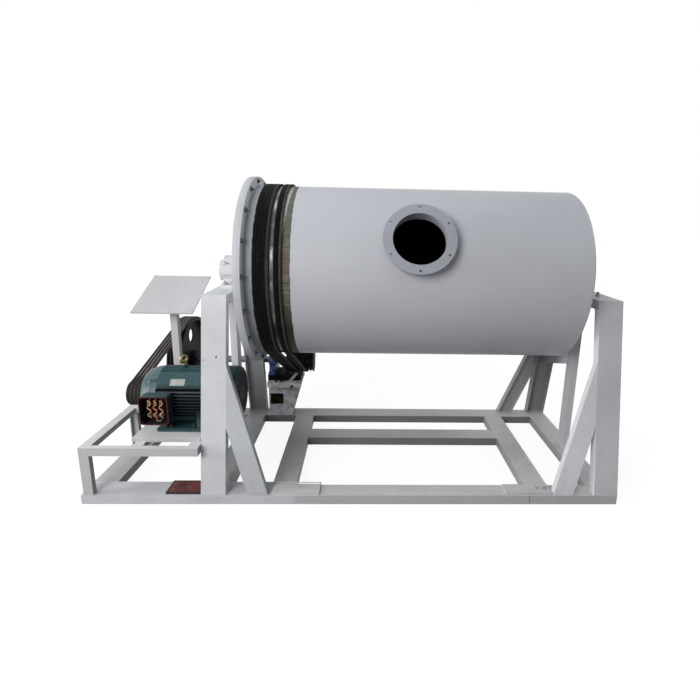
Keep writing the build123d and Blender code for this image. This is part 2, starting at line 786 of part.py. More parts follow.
with BuildPart() as drive_pedestals:
    add(pedestal(right_block_left, right_block_left + right_pedestal_length, right_pedestal_taper,
                 right_pedestal_opening))
    add(pedestal(left_block_left - left_pedestal_outside,
                 left_block_left + block_width + left_pedestal_inside, left_pedestal_taper))
drive_pedestals.part.label = "drive_pedestals"
export_step(drive_pedestals.part, "parts/drive_pedestals.step")

# Motor: finned frame with solid corners, feet, a flat for the rating plate and a lifting boss
with BuildPart() as motor_frame:
    with BuildSketch(across(frame_left)):
        with Locations((motor_y, motor_z)):
            Circle(motor_radius)
            with GridLocations(0, fin_pitch, 1, side_fin_count):
                Rectangle(3 * motor_radius, fin_gap, mode=Mode.SUBTRACT)
            with GridLocations(fin_pitch, 0, top_fin_count, 1):
                Rectangle(fin_gap, 3 * motor_radius, mode=Mode.SUBTRACT)
            Circle(motor_radius - fin_depth)
    extrude(amount=frame_length)
    with BuildSketch(across(frame_left + plate_pad_from_frame)):
        with Locations((motor_y, motor_z)):
            with PolarLocations(motor_radius - fin_depth / 2, 1, start_angle=135):
                Rectangle(fin_depth, plate_pad_width)
    extrude(amount=plate_pad_length)
    with BuildSketch(Plane.XY.offset(motor_z)):
        with Locations(at(frame_left + eye_boss_from_frame, motor_y, 0)):
            Circle(eye_boss_radius)
    extrude(amount=motor_radius + eye_boss_height)
    foot_top = motor_base + motor_foot_thickness
    web_top = motor_z - foot_web_drop
    for side in (-1, 1):
        inner, outer = sorted((motor_y + side * motor_foot_inner, motor_y + side * motor_foot_half))
        add(block(frame_left, frame_left + motor_foot_length, inner, outer, motor_base, foot_top))
        for x in (frame_left + foot_web / 2, frame_left + motor_foot_length - 1.5 * foot_web):
            with BuildSketch(across(x)):
                with BuildLine():
                    Polyline((motor_y + side * 0.94 * motor_foot_half, foot_top),
                             (motor_y + side * 0.9 * motor_radius, web_top),
                             (motor_y + side * 0.3 * motor_radius, web_top),
                             (motor_y + side * motor_foot_inner, foot_top), close=True)
                make_face()
            extrude(amount=foot_web)
    terminal_x = frame_left + terminal_offset
    terminal_z = motor_z - terminal_drop
    terminal_back = motor_y - motor_radius - terminal_standoff
    add(block(frame_left, terminal_x + terminal_width / 2 - terminal_wall, terminal_back, motor_y,
              terminal_z - terminal_height / 2 + terminal_corner,
              terminal_z + terminal_height / 2 - terminal_corner))
motor_frame.part.label = "motor_frame"
export_step(motor_frame.part, "parts/motor_frame.step")

with BuildPart() as motor_end_bell:
    with BuildSketch(through(motor_y, motor_z)):
        with BuildLine():
            Polyline((motor_left, 0), (motor_left, bell_boss_radius),
                     (motor_left + 0.10 * bell_length, 1.08 * bell_boss_radius),
                     (motor_left + 0.15 * bell_length, 0.66 * motor_radius),
                     (motor_left + 0.04 * bell_length, 0.72 * motor_radius),
                     (motor_left + 0.04 * bell_length, 0.82 * motor_radius),
                     (motor_left + 0.16 * bell_length, 0.88 * motor_radius),
                     (motor_left + 0.60 * bell_length, 0.97 * motor_radius),
                     (frame_left, motor_radius), (frame_left, 0), close=True)
        make_face()
    revolve(axis=Axis(at(0, motor_y, motor_z), (1, 0, 0)))
    with BuildSketch(across(frame_left - lug_length)):
        with Locations((motor_y, motor_z)):
            with PolarLocations(motor_radius + lug_proud - lug_radius, 4, start_angle=45):
                Circle(lug_radius)
    extrude(amount=lug_length)
    add(rod(motor_left - bell_length, cowl_left, motor_shaft_radius + running_gap,
            motor_y, motor_z), mode=Mode.SUBTRACT)
motor_end_bell.part.label = "motor_end_bell"
export_step(motor_end_bell.part, "parts/motor_end_bell.step")

with BuildPart() as motor_fan_cowl:
    slot_inner = cowl_hub_radius + 2 * cowl_slot_width
    slot_outer = 0.83 * motor_radius - cowl_wall
    with BuildSketch(through(motor_y, motor_z)):
        with BuildLine():
            Polyline((cowl_left, 0), (cowl_left, motor_radius),
                     (motor_right - 0.17 * cowl_length, motor_radius),
                     (motor_right - 0.05 * cowl_length, 0.95 * motor_radius),
                     (motor_right, 0.83 * motor_radius), (motor_right, 0), close=True)
        make_face()
    revolve(axis=Axis(at(0, motor_y, motor_z), (1, 0, 0)))
    with BuildSketch(across(motor_right - cowl_slot_depth)):
        with Locations((motor_y, motor_z)):
            with PolarLocations((slot_inner + slot_outer) / 2, cowl_slot_count):
                Rectangle(slot_outer - slot_inner, cowl_slot_width)
    extrude(amount=2 * cowl_slot_depth, mode=Mode.SUBTRACT)
motor_fan_cowl.part.label = "motor_fan_cowl"
export_step(motor_fan_cowl.part, "parts/motor_fan_cowl.step")

with BuildPart() as motor_shaft:
    sheave_width = motor_groove_count * belt_pitch + 2 * pulley_edge
    sheave_left = wheel_middle - sheave_width / 2
    add(rod(sheave_left - left_overhang, frame_left, motor_shaft_radius, motor_y, motor_z))
motor_shaft.part.label = "motor_shaft"
export_step(motor_shaft.part, "parts/motor_shaft.step")

with BuildPart() as motor_sheave:
    add(grooved_blank(sheave_left, sheave_width, motor_groove_count, motor_sheave_seat,
                      motor_shaft_radius, motor_y, motor_z))
motor_sheave.part.label = "motor_sheave"
export_step(motor_sheave.part, "parts/motor_sheave.step")

with BuildPart() as motor_belts:
    add(belt_loop(wheel_middle - (motor_groove_count - 1) * belt_pitch / 2, motor_groove_count,
                  motor_y, motor_z, motor_sheave_seat + belt_gap,
                  shaft_y, shaft_z, wheel_seat + belt_gap))
motor_belts.part.label = "motor_belts"
export_step(motor_belts.part, "parts/motor_belts.step")

with BuildPart() as terminal_box:
    with BuildSketch(along(terminal_back)):
        with Locations((terminal_x, terminal_z)):
            RectangleRounded(terminal_width, terminal_height, terminal_corner)
    extrude(amount=terminal_depth)
    with BuildSketch(along(terminal_back - terminal_wall)):
        with Locations((terminal_x, terminal_z)):
            RectangleRounded(terminal_width - 2 * terminal_wall,
                             terminal_height - 2 * terminal_wall, terminal_corner - terminal_wall)
    extrude(amount=terminal_depth, mode=Mode.SUBTRACT)
terminal_box.part.label = "terminal_box"
export_step(terminal_box.part, "parts/terminal_box.step")

# Motor sub-frame
inner_front = front_y + rail_height
inner_rear = subframe_rear - rail_width
subframe_left = base_left + subframe_inset
plate_left = motor_left - plate_left_margin
plate_right = left_leg_left - plate_right_gap

with BuildPart() as motor_plate:
    add(block(plate_left, plate_right, inner_front + plate_front_margin,
              inner_rear - plate_rear_margin, subframe_top, motor_base))
motor_plate.part.label = "motor_plate"
export_step(motor_plate.part, "parts/motor_plate.step")

with BuildPart() as subframe_cross_rails:
    add(block(subframe_left, left_leg_left, front_y, inner_front,
              subframe_top - front_rail_height, subframe_top))
    add(block(subframe_left + rail_wall, left_leg_left - rail_wall, front_y + rail_wall,
              inner_front + rail_wall, subframe_top - front_rail_height + rail_wall,
              subframe_top - rail_wall), mode=Mode.SUBTRACT)
    # cleat that carries the front rail's end back to the leaning leg
    add(block(plate_right, left_leg_left, inner_front, inner_front + leg_cleat_reach,
              subframe_top - front_rail_height, subframe_top))
    add(flat_channel(subframe_left, left_stand_x - post_depth / 2, inner_rear, subframe_rear,
                     subframe_top, rail_height, "X", rail_wall, rail_wall))
subframe_cross_rails.part.label = "subframe_cross_rails"
export_step(subframe_cross_rails.part, "parts/subframe_cross_rails.step")

with BuildPart() as subframe_long_rails:
    for x0 in (subframe_left, plate_left + rail_inset, plate_right - rail_width):
        add(flat_channel(x0, x0 + rail_width, inner_front, inner_rear, subframe_top, rail_height,
                         "Y", rail_wall, rail_wall))
subframe_long_rails.part.label = "subframe_long_rails"
export_step(subframe_long_rails.part, "parts/subframe_long_rails.step")

with BuildPart() as subframe_legs:
    for y0, hollow, under in ((front_y, rail_wall, front_rail_height),
                              (subframe_rear - rail_height, -rail_wall, rail_height)):
        add(block(subframe_left, subframe_left + rail_width, y0, y0 + rail_height,
                  channel_height, subframe_top - under))
        add(block(subframe_left + rail_wall, subframe_left + rail_width - rail_wall,
                  y0 + hollow, y0 + hollow + rail_height, channel_height, subframe_top),
            mode=Mode.SUBTRACT)
subframe_legs.part.label = "subframe_legs"
export_step(subframe_legs.part, "parts/subframe_legs.step")

# Control shelf and the loose plate on the base
shelf_post_x = motor_left + shelf_post_offset
shelf_post_y = (inner_rear + subframe_rear) / 2
shelf_plane = Plane(origin=at(shelf_post_x + shelf_shift, shelf_post_y + shelf_set_back, shelf_height),
                    x_dir=(1, 0, 0),
                    z_dir=(0, -sin(radians(shelf_slope)), cos(radians(shelf_slope))))
with BuildPart() as shelf_plate:
    with BuildSketch(shelf_plane):
        Rectangle(shelf_width, shelf_length)
    extrude(amount=-shelf_thickness)
shelf_plate.part.label = "shelf_plate"
export_step(shelf_plate.part, "parts/shelf_plate.step")

with BuildPart() as shelf_post:
    outside = shelf_post_side / 2
    inside = outside - shelf_post_wall
    add(block(shelf_post_x - outside, shelf_post_x + outside, shelf_post_y - outside,
              shelf_post_y + outside, subframe_top, shelf_height + shelf_length))
    add(block(shelf_post_x - inside, shelf_post_x + inside, shelf_post_y - inside,
              shelf_post_y + inside, subframe_top, shelf_height + shelf_length),
        mode=Mode.SUBTRACT)
    split(bisect_by=shelf_plane.offset(-shelf_thickness), keep=Keep.BOTTOM)
shelf_post.part.label = "shelf_post"
export_step(shelf_post.part, "parts/shelf_post.step")

with BuildPart() as loose_plate:
    add(block(left_leg_left - loose_plate_length, left_leg_left, front_y + loose_plate_inset,
              front_y + channel_width - loose_plate_inset / 4,
              channel_height, channel_height + loose_plate_thickness))
loose_plate.part.label = "loose_plate"
export_step(loose_plate.part, "parts/loose_plate.step")
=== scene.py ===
import math
import random
import bpy
from mathutils import Matrix, Vector


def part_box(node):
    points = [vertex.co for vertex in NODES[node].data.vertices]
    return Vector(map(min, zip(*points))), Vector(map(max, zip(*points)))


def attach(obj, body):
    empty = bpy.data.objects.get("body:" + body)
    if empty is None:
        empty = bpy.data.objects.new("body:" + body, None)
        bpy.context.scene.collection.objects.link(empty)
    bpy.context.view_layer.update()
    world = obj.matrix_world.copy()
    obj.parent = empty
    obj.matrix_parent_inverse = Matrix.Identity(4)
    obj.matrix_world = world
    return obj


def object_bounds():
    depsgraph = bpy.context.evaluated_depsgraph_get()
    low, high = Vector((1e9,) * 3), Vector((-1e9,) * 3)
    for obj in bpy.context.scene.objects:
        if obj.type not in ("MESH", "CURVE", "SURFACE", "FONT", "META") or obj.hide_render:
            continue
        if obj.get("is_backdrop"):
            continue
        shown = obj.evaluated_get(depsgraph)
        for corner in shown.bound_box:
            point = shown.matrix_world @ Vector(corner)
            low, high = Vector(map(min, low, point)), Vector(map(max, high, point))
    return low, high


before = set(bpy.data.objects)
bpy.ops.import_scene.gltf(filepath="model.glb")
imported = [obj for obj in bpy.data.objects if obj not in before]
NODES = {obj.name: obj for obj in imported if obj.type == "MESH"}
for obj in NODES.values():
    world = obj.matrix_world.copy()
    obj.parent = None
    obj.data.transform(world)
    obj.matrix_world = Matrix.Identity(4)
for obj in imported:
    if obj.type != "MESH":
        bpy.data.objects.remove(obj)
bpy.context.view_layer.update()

random.seed(7)

# Places that follow from the part, in metres: the drum's axis, the countershaft's and the motor's
AY, AZ = -0.1652, 1.46
SHAFT_Y, SHAFT_Z = AY + 0.650, 0.568
MOTOR_Y, MOTOR_Z = AY - 0.322, 0.625
MOTOR_FRAME = (-1.326, -0.964)
MOTOR_BELL = (-1.446, -1.331)
# The drum's belt track, the strip polished between the two runs of belts, and the belts' pitch
TRACK = (-0.640, -0.406)
POLISHED = (-0.534, -0.505)
BELT_PITCH = 0.0254
# The drum's plate halfway through, and the manhole: its X, its tilt, its direction and its neck
SHELL_MIDDLE = 0.597
MANHOLE_X, MANHOLE_TILT, NECK_RADIUS = 0.385, math.radians(25.5), 0.1755
MANHOLE_OUT = (0, -math.cos(MANHOLE_TILT), math.sin(MANHOLE_TILT))
# Bolt rings: radius, number and first angle
FLANGE_RING = (0.632, 18, math.radians(6.7))
HUB_RING = (0.118, 8, 0.2)
# The base's front edge and top, how far the legs lean, and the bearing beams' underside and top
BASE_FRONT, BASE_TOP, LEG_LEAN = AY - 0.705, 0.065, 0.2
BEAM_UNDER, BEAM_TOP = 1.285, 1.350
BEAD_Z = 0.066
# The terminal box: middle of its opening, front of its back wall, inner half width and height
BOX_X, BOX_Z, BOX_BACK = -1.305, 0.610, AY - 0.531
BOX_HALF_WIDTH, BOX_HALF_HEIGHT = 0.0862, 0.0907
RIGHTWARDS, LEFTWARDS, FORWARDS, UPWARDS = (1, 0, 0), (-1, 0, 0), (0, -1, 0), (0, 0, 1)
TEAL = (48, 74, 78)


def rgb(r, g, b):
    """Linear colour from 0-255 values."""
    def lin(c):
        c /= 255.0
        return c / 12.92 if c <= 0.04045 else ((c + 0.055) / 1.055) ** 2.4
    return (lin(r), lin(g), lin(b), 1.0)


def shades(colour, low, high):
    """Two linear colours: the colour times each factor."""
    return [tuple(min(1.0, c * k) for c in rgb(*colour)[:3]) + (1.0,) for k in (low, high)]


# Materials
class Nodes:
    """Small helper for building a procedural material."""

    def __init__(self, name):
        self.mat = bpy.data.materials.new(name)
        self.mat.use_nodes = True
        self.tree = self.mat.node_tree
        self.bsdf = self.tree.nodes["Principled BSDF"]
        self.coord = self.tree.nodes.new("ShaderNodeTexCoord").outputs["Object"]

    def new(self, kind, **values):
        """A node of that kind with its properties."""
        node = self.tree.nodes.new(kind)
        for key, value in values.items():
            setattr(node, key, value)
        return node

    def link(self, a, b):
        self.tree.links.new(a, b)

    def noise(self, scale, detail=4.0, rough=0.6, stretch=None, distortion=0.0):
        """Noise from 0 to 1 in object coordinates, stretched if asked."""
        node = self.new("ShaderNodeTexNoise")
        node.inputs["Scale"].default_value = scale
        node.inputs["Detail"].default_value = detail
        node.inputs["Roughness"].default_value = rough
        node.inputs["Distortion"].default_value = distortion
        source = self.coord
        if stretch:
            mapping = self.new("ShaderNodeMapping")
            mapping.inputs["Scale"].default_value = stretch
            self.link(source, mapping.inputs["Vector"])
            source = mapping.outputs["Vector"]
        self.link(source, node.inputs["Vector"])
        return node.outputs["Fac"]

    def ramp(self, source, low, high, a=0.0, b=1.0):
        """Goes from a to b while the source goes from low to high."""
        node = self.new("ShaderNodeMapRange")
        node.inputs["From Min"].default_value = low
        node.inputs["From Max"].default_value = high
        node.inputs["To Min"].default_value = a
        node.inputs["To Max"].default_value = b
        self.link(source, node.inputs["Value"])
        return node.outputs["Result"]

    def math(self, how, a, b=None, clamp=False):
        node = self.new("ShaderNodeMath", operation=how, use_clamp=clamp)
        for i, value in enumerate((a, b)):
            if value is None:
                continue
            if isinstance(value, (int, float)):
                node.inputs[i].default_value = value
            else:
                self.link(value, node.inputs[i])
        return node.outputs[0]

    def mix(self, factor, a, b):
        """Colour a where the factor is 0, b where it is 1."""
        node = self.new("ShaderNodeMix", data_type="RGBA")
        for key, value in ((0, factor), (6, a), (7, b)):
            if isinstance(value, (int, float, tuple)):
                node.inputs[key].default_value = value
            else:
                self.link(value, node.inputs[key])
        return node.outputs[2]

    def axis(self, letter):
        node = self.new("ShaderNodeSeparateXYZ")
        self.link(self.coord, node.inputs[0])
        return node.outputs[letter]

    def normal(self, letter):
        node = self.new("ShaderNodeSeparateXYZ")
        self.link(self.new("ShaderNodeNewGeometry").outputs["Normal"], node.inputs[0])
        return node.outputs[letter]

    def band(self, value, low, high, soft=0.0008):
        """1 between low and high, 0 outside, with soft edges."""
        up = self.ramp(value, low - soft, low + soft)
        return self.times(up, self.ramp(value, high - soft, high + soft, 1.0, 0.0))

    def bump(self, height, strength, distance=0.001):
        node = self.new("ShaderNodeBump")
        node.inputs["Strength"].default_value = strength
        node.inputs["Distance"].default_value = distance
        self.link(height, node.inputs["Height"])
        self.link(node.outputs["Normal"], self.bsdf.inputs["Normal"])

    def times(self, first, *others):
        """Product of the values."""
        for value in others:
            first = self.math("MULTIPLY", first, value)
        return first

    def round_x(self, y0, z0):
        """Distance from the line along X through that place."""
        dy, dz = self.math("SUBTRACT", self.axis("Y"), y0), self.math("SUBTRACT", self.axis("Z"), z0)
        return self.math("SQRT", self.math("ADD", self.times(dy, dy), self.times(dz, dz)))

    def clouded(self, scale, colour, low, high):
        """A colour between two factors of it, in broad clouds."""
        return self.mix(self.ramp(self.noise(scale, 3.0), 0.35, 0.65), *shades(colour, low, high))

    def mottled(self, colour, other):
        """Two colours in uneven patches."""
        return self.mix(self.ramp(self.noise(11.0, 7.0, 0.7), 0.40, 0.72), rgb(*colour), rgb(*other))

    def coat(self, tone, grain, rough, relief, gloss=None):
        """Colour, roughness that varies with a grain, relief (scale, detail, strength, depth), gloss."""
        self.put("Base Color", tone)
        self.put("Roughness", self.ramp(self.noise(grain, 5.0), 0.3, 0.7, *rough))
        scale, detail, strength, depth = relief
        self.bump(self.noise(scale, detail), strength, depth)
        if gloss is not None:
            self.put("Specular IOR Level", gloss)
        return self.mat

    def put(self, socket, value):
        """Set or link a socket of the shader."""
        if isinstance(value, (int, float, tuple)):
            self.bsdf.inputs[socket].default_value = value
        else:
            self.link(value, self.bsdf.inputs[socket])


def paint(name, colour, dust=(150, 146, 138), rough=0.42, dirt=0.35, low_dirt=0.0, gloss=0.22,
          rear=0.0, face=None, painted_side_shading=None):
    """Sprayed enamel: slight unevenness, dust in patches, fine runs and orange peel.

    face and flank are painted light: lighter colours on the faces turned to the right and the left; rear is
    painted shade on what lies behind the drum's axis, and low_dirt is grime splashed up from the ground.
    """
    n = Nodes(name)
    tone = n.clouded(1.7, colour, 0.90, 1.05)
    # painted light: lighter colours on the faces turned right and left
    if face:
        tone = n.mix(n.ramp(n.normal("X"), 0.70, 0.90), tone, rgb(*face))
    if painted_side_shading:
        tone = n.mix(n.ramp(n.normal("X"), -0.70, -0.90), tone, rgb(*painted_side_shading))
    patch = n.ramp(n.noise(9.0, 8.0, 0.7), 0.50, 0.74, 0.0, dirt)
    tone = n.mix(patch, tone, rgb(*dust))
    runs = n.ramp(n.noise(6.0, 5.0, 0.65, stretch=(7.0, 7.0, 0.7)), 0.60, 0.80, 0.0, dirt * 0.5)
    tone = n.mix(runs, tone, rgb(dust[0] - 25, dust[1] - 28, dust[2] - 32))
    chips = n.ramp(n.noise(60.0, 2.0, 0.5), 0.735, 0.75, 0.0, 0.45)
    chips = n.times(chips, n.ramp(n.noise(2.3, 2.0), 0.5, 0.62))
    tone = n.mix(chips, tone, rgb(88, 84, 80))
    # painted shade: darker behind the drum's axis
    if rear:
        tone = n.mix(n.ramp(n.axis("Y"), AY + 0.1, AY + 0.3, 0.0, rear), tone, rgb(112, 112, 114))
    if low_dirt:
        splash = n.ramp(n.axis("Z"), 0.02, 0.28, low_dirt, 0.0)
        splash = n.math("MULTIPLY", splash, n.ramp(n.noise(14.0, 6.0, 0.7), 0.35, 0.7), True)
        tone = n.mix(splash, tone, rgb(112, 108, 102))
    return n.coat(tone, 22.0, (rough - 0.07, rough + 0.12), (420.0, 2.0, 0.12, 0.0006), gloss)


def metal(name, colour, rough=0.35, dark=0.6, grain=(1.0, 1.0, 1.0), metallic=1.0, rust=0.0,
          gloss=0.5):
    """Machined or cast metal with stains and a directional grain."""
    n = Nodes(name)
    stain = n.ramp(n.noise(26.0, 6.0, 0.65), 0.38, 0.70)
    tone = n.mix(stain, *shades(colour, 1.0, dark))
    if rust:
        tone = n.mix(n.ramp(n.noise(15.0, 8.0, 0.75), 0.52, 0.70, 0.0, rust), tone, rgb(96, 58, 36))
    n.put("Base Color", tone)
    lines = n.noise(240.0, 3.0, 0.6, stretch=grain)
    n.put("Roughness", n.ramp(lines, 0.3, 0.7, rough - 0.08, rough + 0.14))
    n.bump(lines, 0.18, 0.0004)
    n.put("Metallic", metallic)
    n.put("Specular IOR Level", gloss)
    return n.mat


def rubber(name, colour, dusty, valley, share, line=(7, 7, 8), worn_ribs=(), grimy=None):
    """Joined V-belts: dull ribs a pitch apart, dusty on top, with lines between them that are painted shade
    when dark and painted highlights when pale.

    valley is the X of one line, share is how much dust lies on them, worn_ribs are (low X,
    high X, colour), and grimy is the pair of Y between which grime in front fades out.
    """
    n = Nodes(name)
    dust = n.ramp(n.noise(17.0, 7.0, 0.7), 0.42, 0.72, 0.0, share)
    tone = n.mix(dust, rgb(*colour), rgb(*dusty))
    streak = n.ramp(n.noise(5.0, 3.0, stretch=(30.0, 1.0, 1.0)), 0.55, 0.75, 0.0, share * 0.7)
    tone = n.mix(streak, tone, rgb(*[c + 10 for c in dusty]))
    part = n.math("FRACT", n.times(n.math("SUBTRACT", n.axis("X"), valley), 1 / BELT_PITCH))
    off = n.math("ABSOLUTE", n.math("SUBTRACT", part, 0.5))
    scuffed = n.ramp(n.noise(7.0, 4.0, 0.6), 0.30, 0.62, 0.45, 1.0)
    for low, high, worn in worn_ribs:
        rib = n.times(n.band(n.axis("X"), low, high, 0.003), scuffed)
        tone = n.mix(rib, tone, rgb(*worn))
    held = n.ramp(n.noise(3.0, 4.0, 0.6), 0.32, 0.60, 0.35, 0.95)
    # painted lines a pitch apart: dark ones are painted shade in the grooves between ribs, pale ones
    # painted highlights
    tone = n.mix(n.times(n.ramp(off, 0.30, 0.38), held), tone, rgb(*line))
    if grimy:
        tone = n.mix(n.ramp(n.axis("Y"), *grimy, 0.85, 0.0), tone, rgb(38, 38, 33))
    n.put("Base Color", tone)
    n.put("Specular IOR Level", 0.05)
    n.put("Roughness", n.ramp(n.noise(40.0, 4.0), 0.3, 0.7, 0.55, 0.80))
    weave = n.new("ShaderNodeTexWave", wave_type="BANDS", bands_direction="DIAGONAL")
    weave.inputs["Scale"].default_value = 160.0
    weave.inputs["Distortion"].default_value = 1.5
    n.link(n.coord, weave.inputs["Vector"])
    n.bump(weave.outputs["Fac"], 0.25, 0.0005)
    return n.mat


def shell_material():
    """Drum enamel, with the belt track rubbed to bare steel near its left end."""
    n = Nodes("drum_enamel_and_belt_track")
    tone = n.clouded(1.1, (190, 193, 199), 0.96, 1.03)
    patch = n.ramp(n.noise(7.0, 8.0, 0.7), 0.56, 0.80, 0.0, 0.14)
    tone = n.mix(patch, tone, rgb(162, 159, 154))
    scuffs = n.ramp(n.noise(4.0, 6.0, 0.7, stretch=(0.4, 6.0, 6.0)), 0.68, 0.76, 0.0, 0.18)
    tone = n.mix(scuffs, tone, rgb(146, 147, 150))
    # painted like the flange up to the track, whose edge is ragged
    x = n.math("ADD", n.axis("X"), n.ramp(n.noise(24.0, 4.0), 0.3, 0.7, -0.003, 0.003))
    before = n.ramp(x, TRACK[0] - 0.002, TRACK[0] + 0.002, 1.0, 0.0)
    tone = n.mix(before, tone, rgb(150, 155, 161))
    track = n.band(x, *TRACK)
    # angle round the drum, and short marks across the track
    turn = n.math("ARCTAN2", n.math("SUBTRACT", n.axis("Z"), AZ), n.math("SUBTRACT", n.axis("Y"), AY))
    rise = n.math("SINE", turn)

    def along(scale, detail=3.0):
        steps = n.new("ShaderNodeTexNoise", noise_dimensions="1D")
        steps.inputs["Scale"].default_value = scale
        steps.inputs["Detail"].default_value = detail
        n.link(turn, steps.inputs["W"])
        return steps.outputs["Fac"]

    browner = n.math("SUBTRACT", 1.0, n.ramp(rise, 0.30, 0.62))
    browner = n.times(n.ramp(along(2.6, 2.0), 0.40, 0.60), browner)
    worn = n.mix(browner, rgb(100, 102, 92), rgb(96, 86, 75))
    worn = n.mix(n.ramp(n.noise(30.0, 8.0, 0.75), 0.40, 0.70, 0.0, 0.7), worn, rgb(62, 56, 49))
    marks = n.ramp(along(46.0), 0.62, 0.67, 0.0, 0.55)
    light = n.ramp(along(38.0), 0.38, 0.30, 0.0, 0.35)
    worn = n.mix(marks, worn, rgb(38, 35, 32))
    worn = n.mix(light, worn, rgb(150, 145, 136))
    # dark below the belts' edge, polished where they slide between the two runs, with painted highlights on
    # the polished strip
    belt_edge, strip_middle = -0.462, -0.5185
    worn = n.mix(n.ramp(x, belt_edge, belt_edge + 0.022, 0.75, 0.0), worn, rgb(46, 41, 37))
    polished = n.band(x, *POLISHED)
    across = n.math("ABSOLUTE", n.math("SUBTRACT", x, strip_middle))
    # painted highlights: bright patches along the middle of the polished strip
    painted_highlights = n.ramp(across, 0.002, 0.010, 1.0, 0.0)
    painted_highlights = n.times(n.ramp(along(3.4, 1.0), 0.46, 0.74), painted_highlights)
    bright = n.mix(n.ramp(n.noise(22.0, 5.0, 0.7), 0.35, 0.7), rgb(82, 84, 85), rgb(46, 46, 46))
    bright = n.mix(painted_highlights, bright, rgb(158, 160, 161))
    worn = n.mix(polished, worn, bright)
    # painted highlight: a bright wedge beside the belts, widest near the top and narrowing to the front
    wedge_end = n.ramp(rise, 0.42, 0.96, -0.4590, -0.4320)
    wedge = n.times(n.ramp(n.math("SUBTRACT", x, wedge_end), -0.0010, 0.0010, 1.0, 0.0),
                    n.ramp(rise, 0.42, 0.52), n.ramp(x, -0.4600, -0.4588),
                    n.ramp(rise, 0.93, 0.985, 1.0, 0.1),
                    n.ramp(n.noise(18.0, 4.0), 0.3, 0.6, 0.45, 0.9))
    worn = n.mix(n.ramp(rise, 0.86, 0.97, 0.0, 0.75), worn, rgb(62, 62, 59))
    worn = n.mix(wedge, worn, rgb(190, 192, 189))
    # painted shade: the track darker towards its underside
    worn = n.mix(n.ramp(rise, -0.50, -0.12, 0.9, 0.0), worn, rgb(26, 23, 21))
    tone = n.mix(track, tone, worn)
    # the chamber's wall inside: ground dark and dull
    inside = n.ramp(n.round_x(AY, AZ), SHELL_MIDDLE - 0.0005, SHELL_MIDDLE + 0.0005, 1.0, 0.0)
    ground = n.mix(n.ramp(n.noise(12.0, 6.0, 0.7), 0.35, 0.7), rgb(34, 32, 31), rgb(20, 19, 19))
    n.put("Base Color", n.mix(inside, tone, ground))
    enamel = n.ramp(n.noise(18.0, 5.0), 0.3, 0.7, 0.36, 0.48)
    steel = n.math("ADD", 0.56, n.times(polished, -0.26))
    mixer = n.new("ShaderNodeMix", data_type="FLOAT")
    for socket, source in ((0, track), (2, enamel), (3, steel)):
        n.link(source, mixer.inputs[socket])
    n.put("Roughness", mixer.outputs[0])
    n.put("Metallic", n.times(track, n.math("ADD", 0.25, n.times(polished, 0.5))))
    n.bump(n.math("ADD", n.noise(380.0, 2.0), n.times(marks, track, -3.0)), 0.14, 0.0008)
    n.put("Specular IOR Level", 0.2)
    return n.mat


def base_material(name, level, ends, fronts, right=0):
    """Base enamel: painted light and dust on the tops, painted shade on the sides, dark speckle by the
    splices.

    level is its grey, ends and fronts say how far painted shade darkens the faces turned right and
    forwards, and right is how much painted light lightens the tops towards the right end.
    """
    n = Nodes(name)
    tone = n.clouded(1.4, (level, level + 1, level + 4), 0.94, 1.04)
    up = n.ramp(n.normal("Z"), 0.70, 0.95)
    dust = n.times(up, n.ramp(n.noise(8.0, 7.0, 0.7), 0.42, 0.72, 0.05, 0.35))
    # painted light: the tops lighter overall, and lighter still towards the right end
    tone = n.mix(up, tone, rgb(level + 16, level + 17, level + 18))
    painted_light_right = n.times(up, n.ramp(n.axis("X"), 0.7, 1.2))
    tone = n.mix(painted_light_right, tone, rgb(level + 16 + right, level + 17 + right, level + 18 + right))
    # painted shade on the faces turned right and forwards
    tone = n.mix(n.ramp(n.normal("X"), 0.70, 0.90, 0.0, ends), tone, rgb(92, 96, 100))
    tone = n.mix(n.ramp(n.normal("Y"), -0.70, -0.90, 0.0, fronts), tone, rgb(84, 85, 90))
    tone = n.mix(dust, tone, rgb(172, 169, 163))
    runs = n.ramp(n.noise(6.0, 5.0, 0.65, stretch=(0.7, 7.0, 7.0)), 0.62, 0.82, 0.0, 0.22)
    tone = n.mix(runs, tone, rgb(138, 137, 136))
    # speckle near the two splices, and the seam beside the right one
    x = n.axis("X")
    left_splice, right_splice, seam_x = (-0.560, -0.215), (1.030, 1.330), (1.1765, 1.1795)
    near = n.math("ADD", n.band(x, *left_splice, 0.07), n.band(x, *right_splice, 0.07))
    near = n.math("ADD", near, 0.10, True)
    specks = n.times(n.ramp(n.noise(85.0, 4.0, 0.7), 0.60, 0.66, 0.0, 0.8), near,
                     n.ramp(n.noise(9.0, 3.0), 0.42, 0.58))
    tone = n.mix(specks, tone, rgb(74, 72, 70))
    seam = n.times(n.band(x, *seam_x, 0.0005), n.ramp(n.axis("Y"), AY - 0.7030, AY - 0.7045))
    tone = n.mix(seam, tone, rgb(52, 50, 48))
    return n.coat(tone, 22.0, (0.38, 0.55), (420.0, 2.0, 0.12, 0.0006), 0.22)


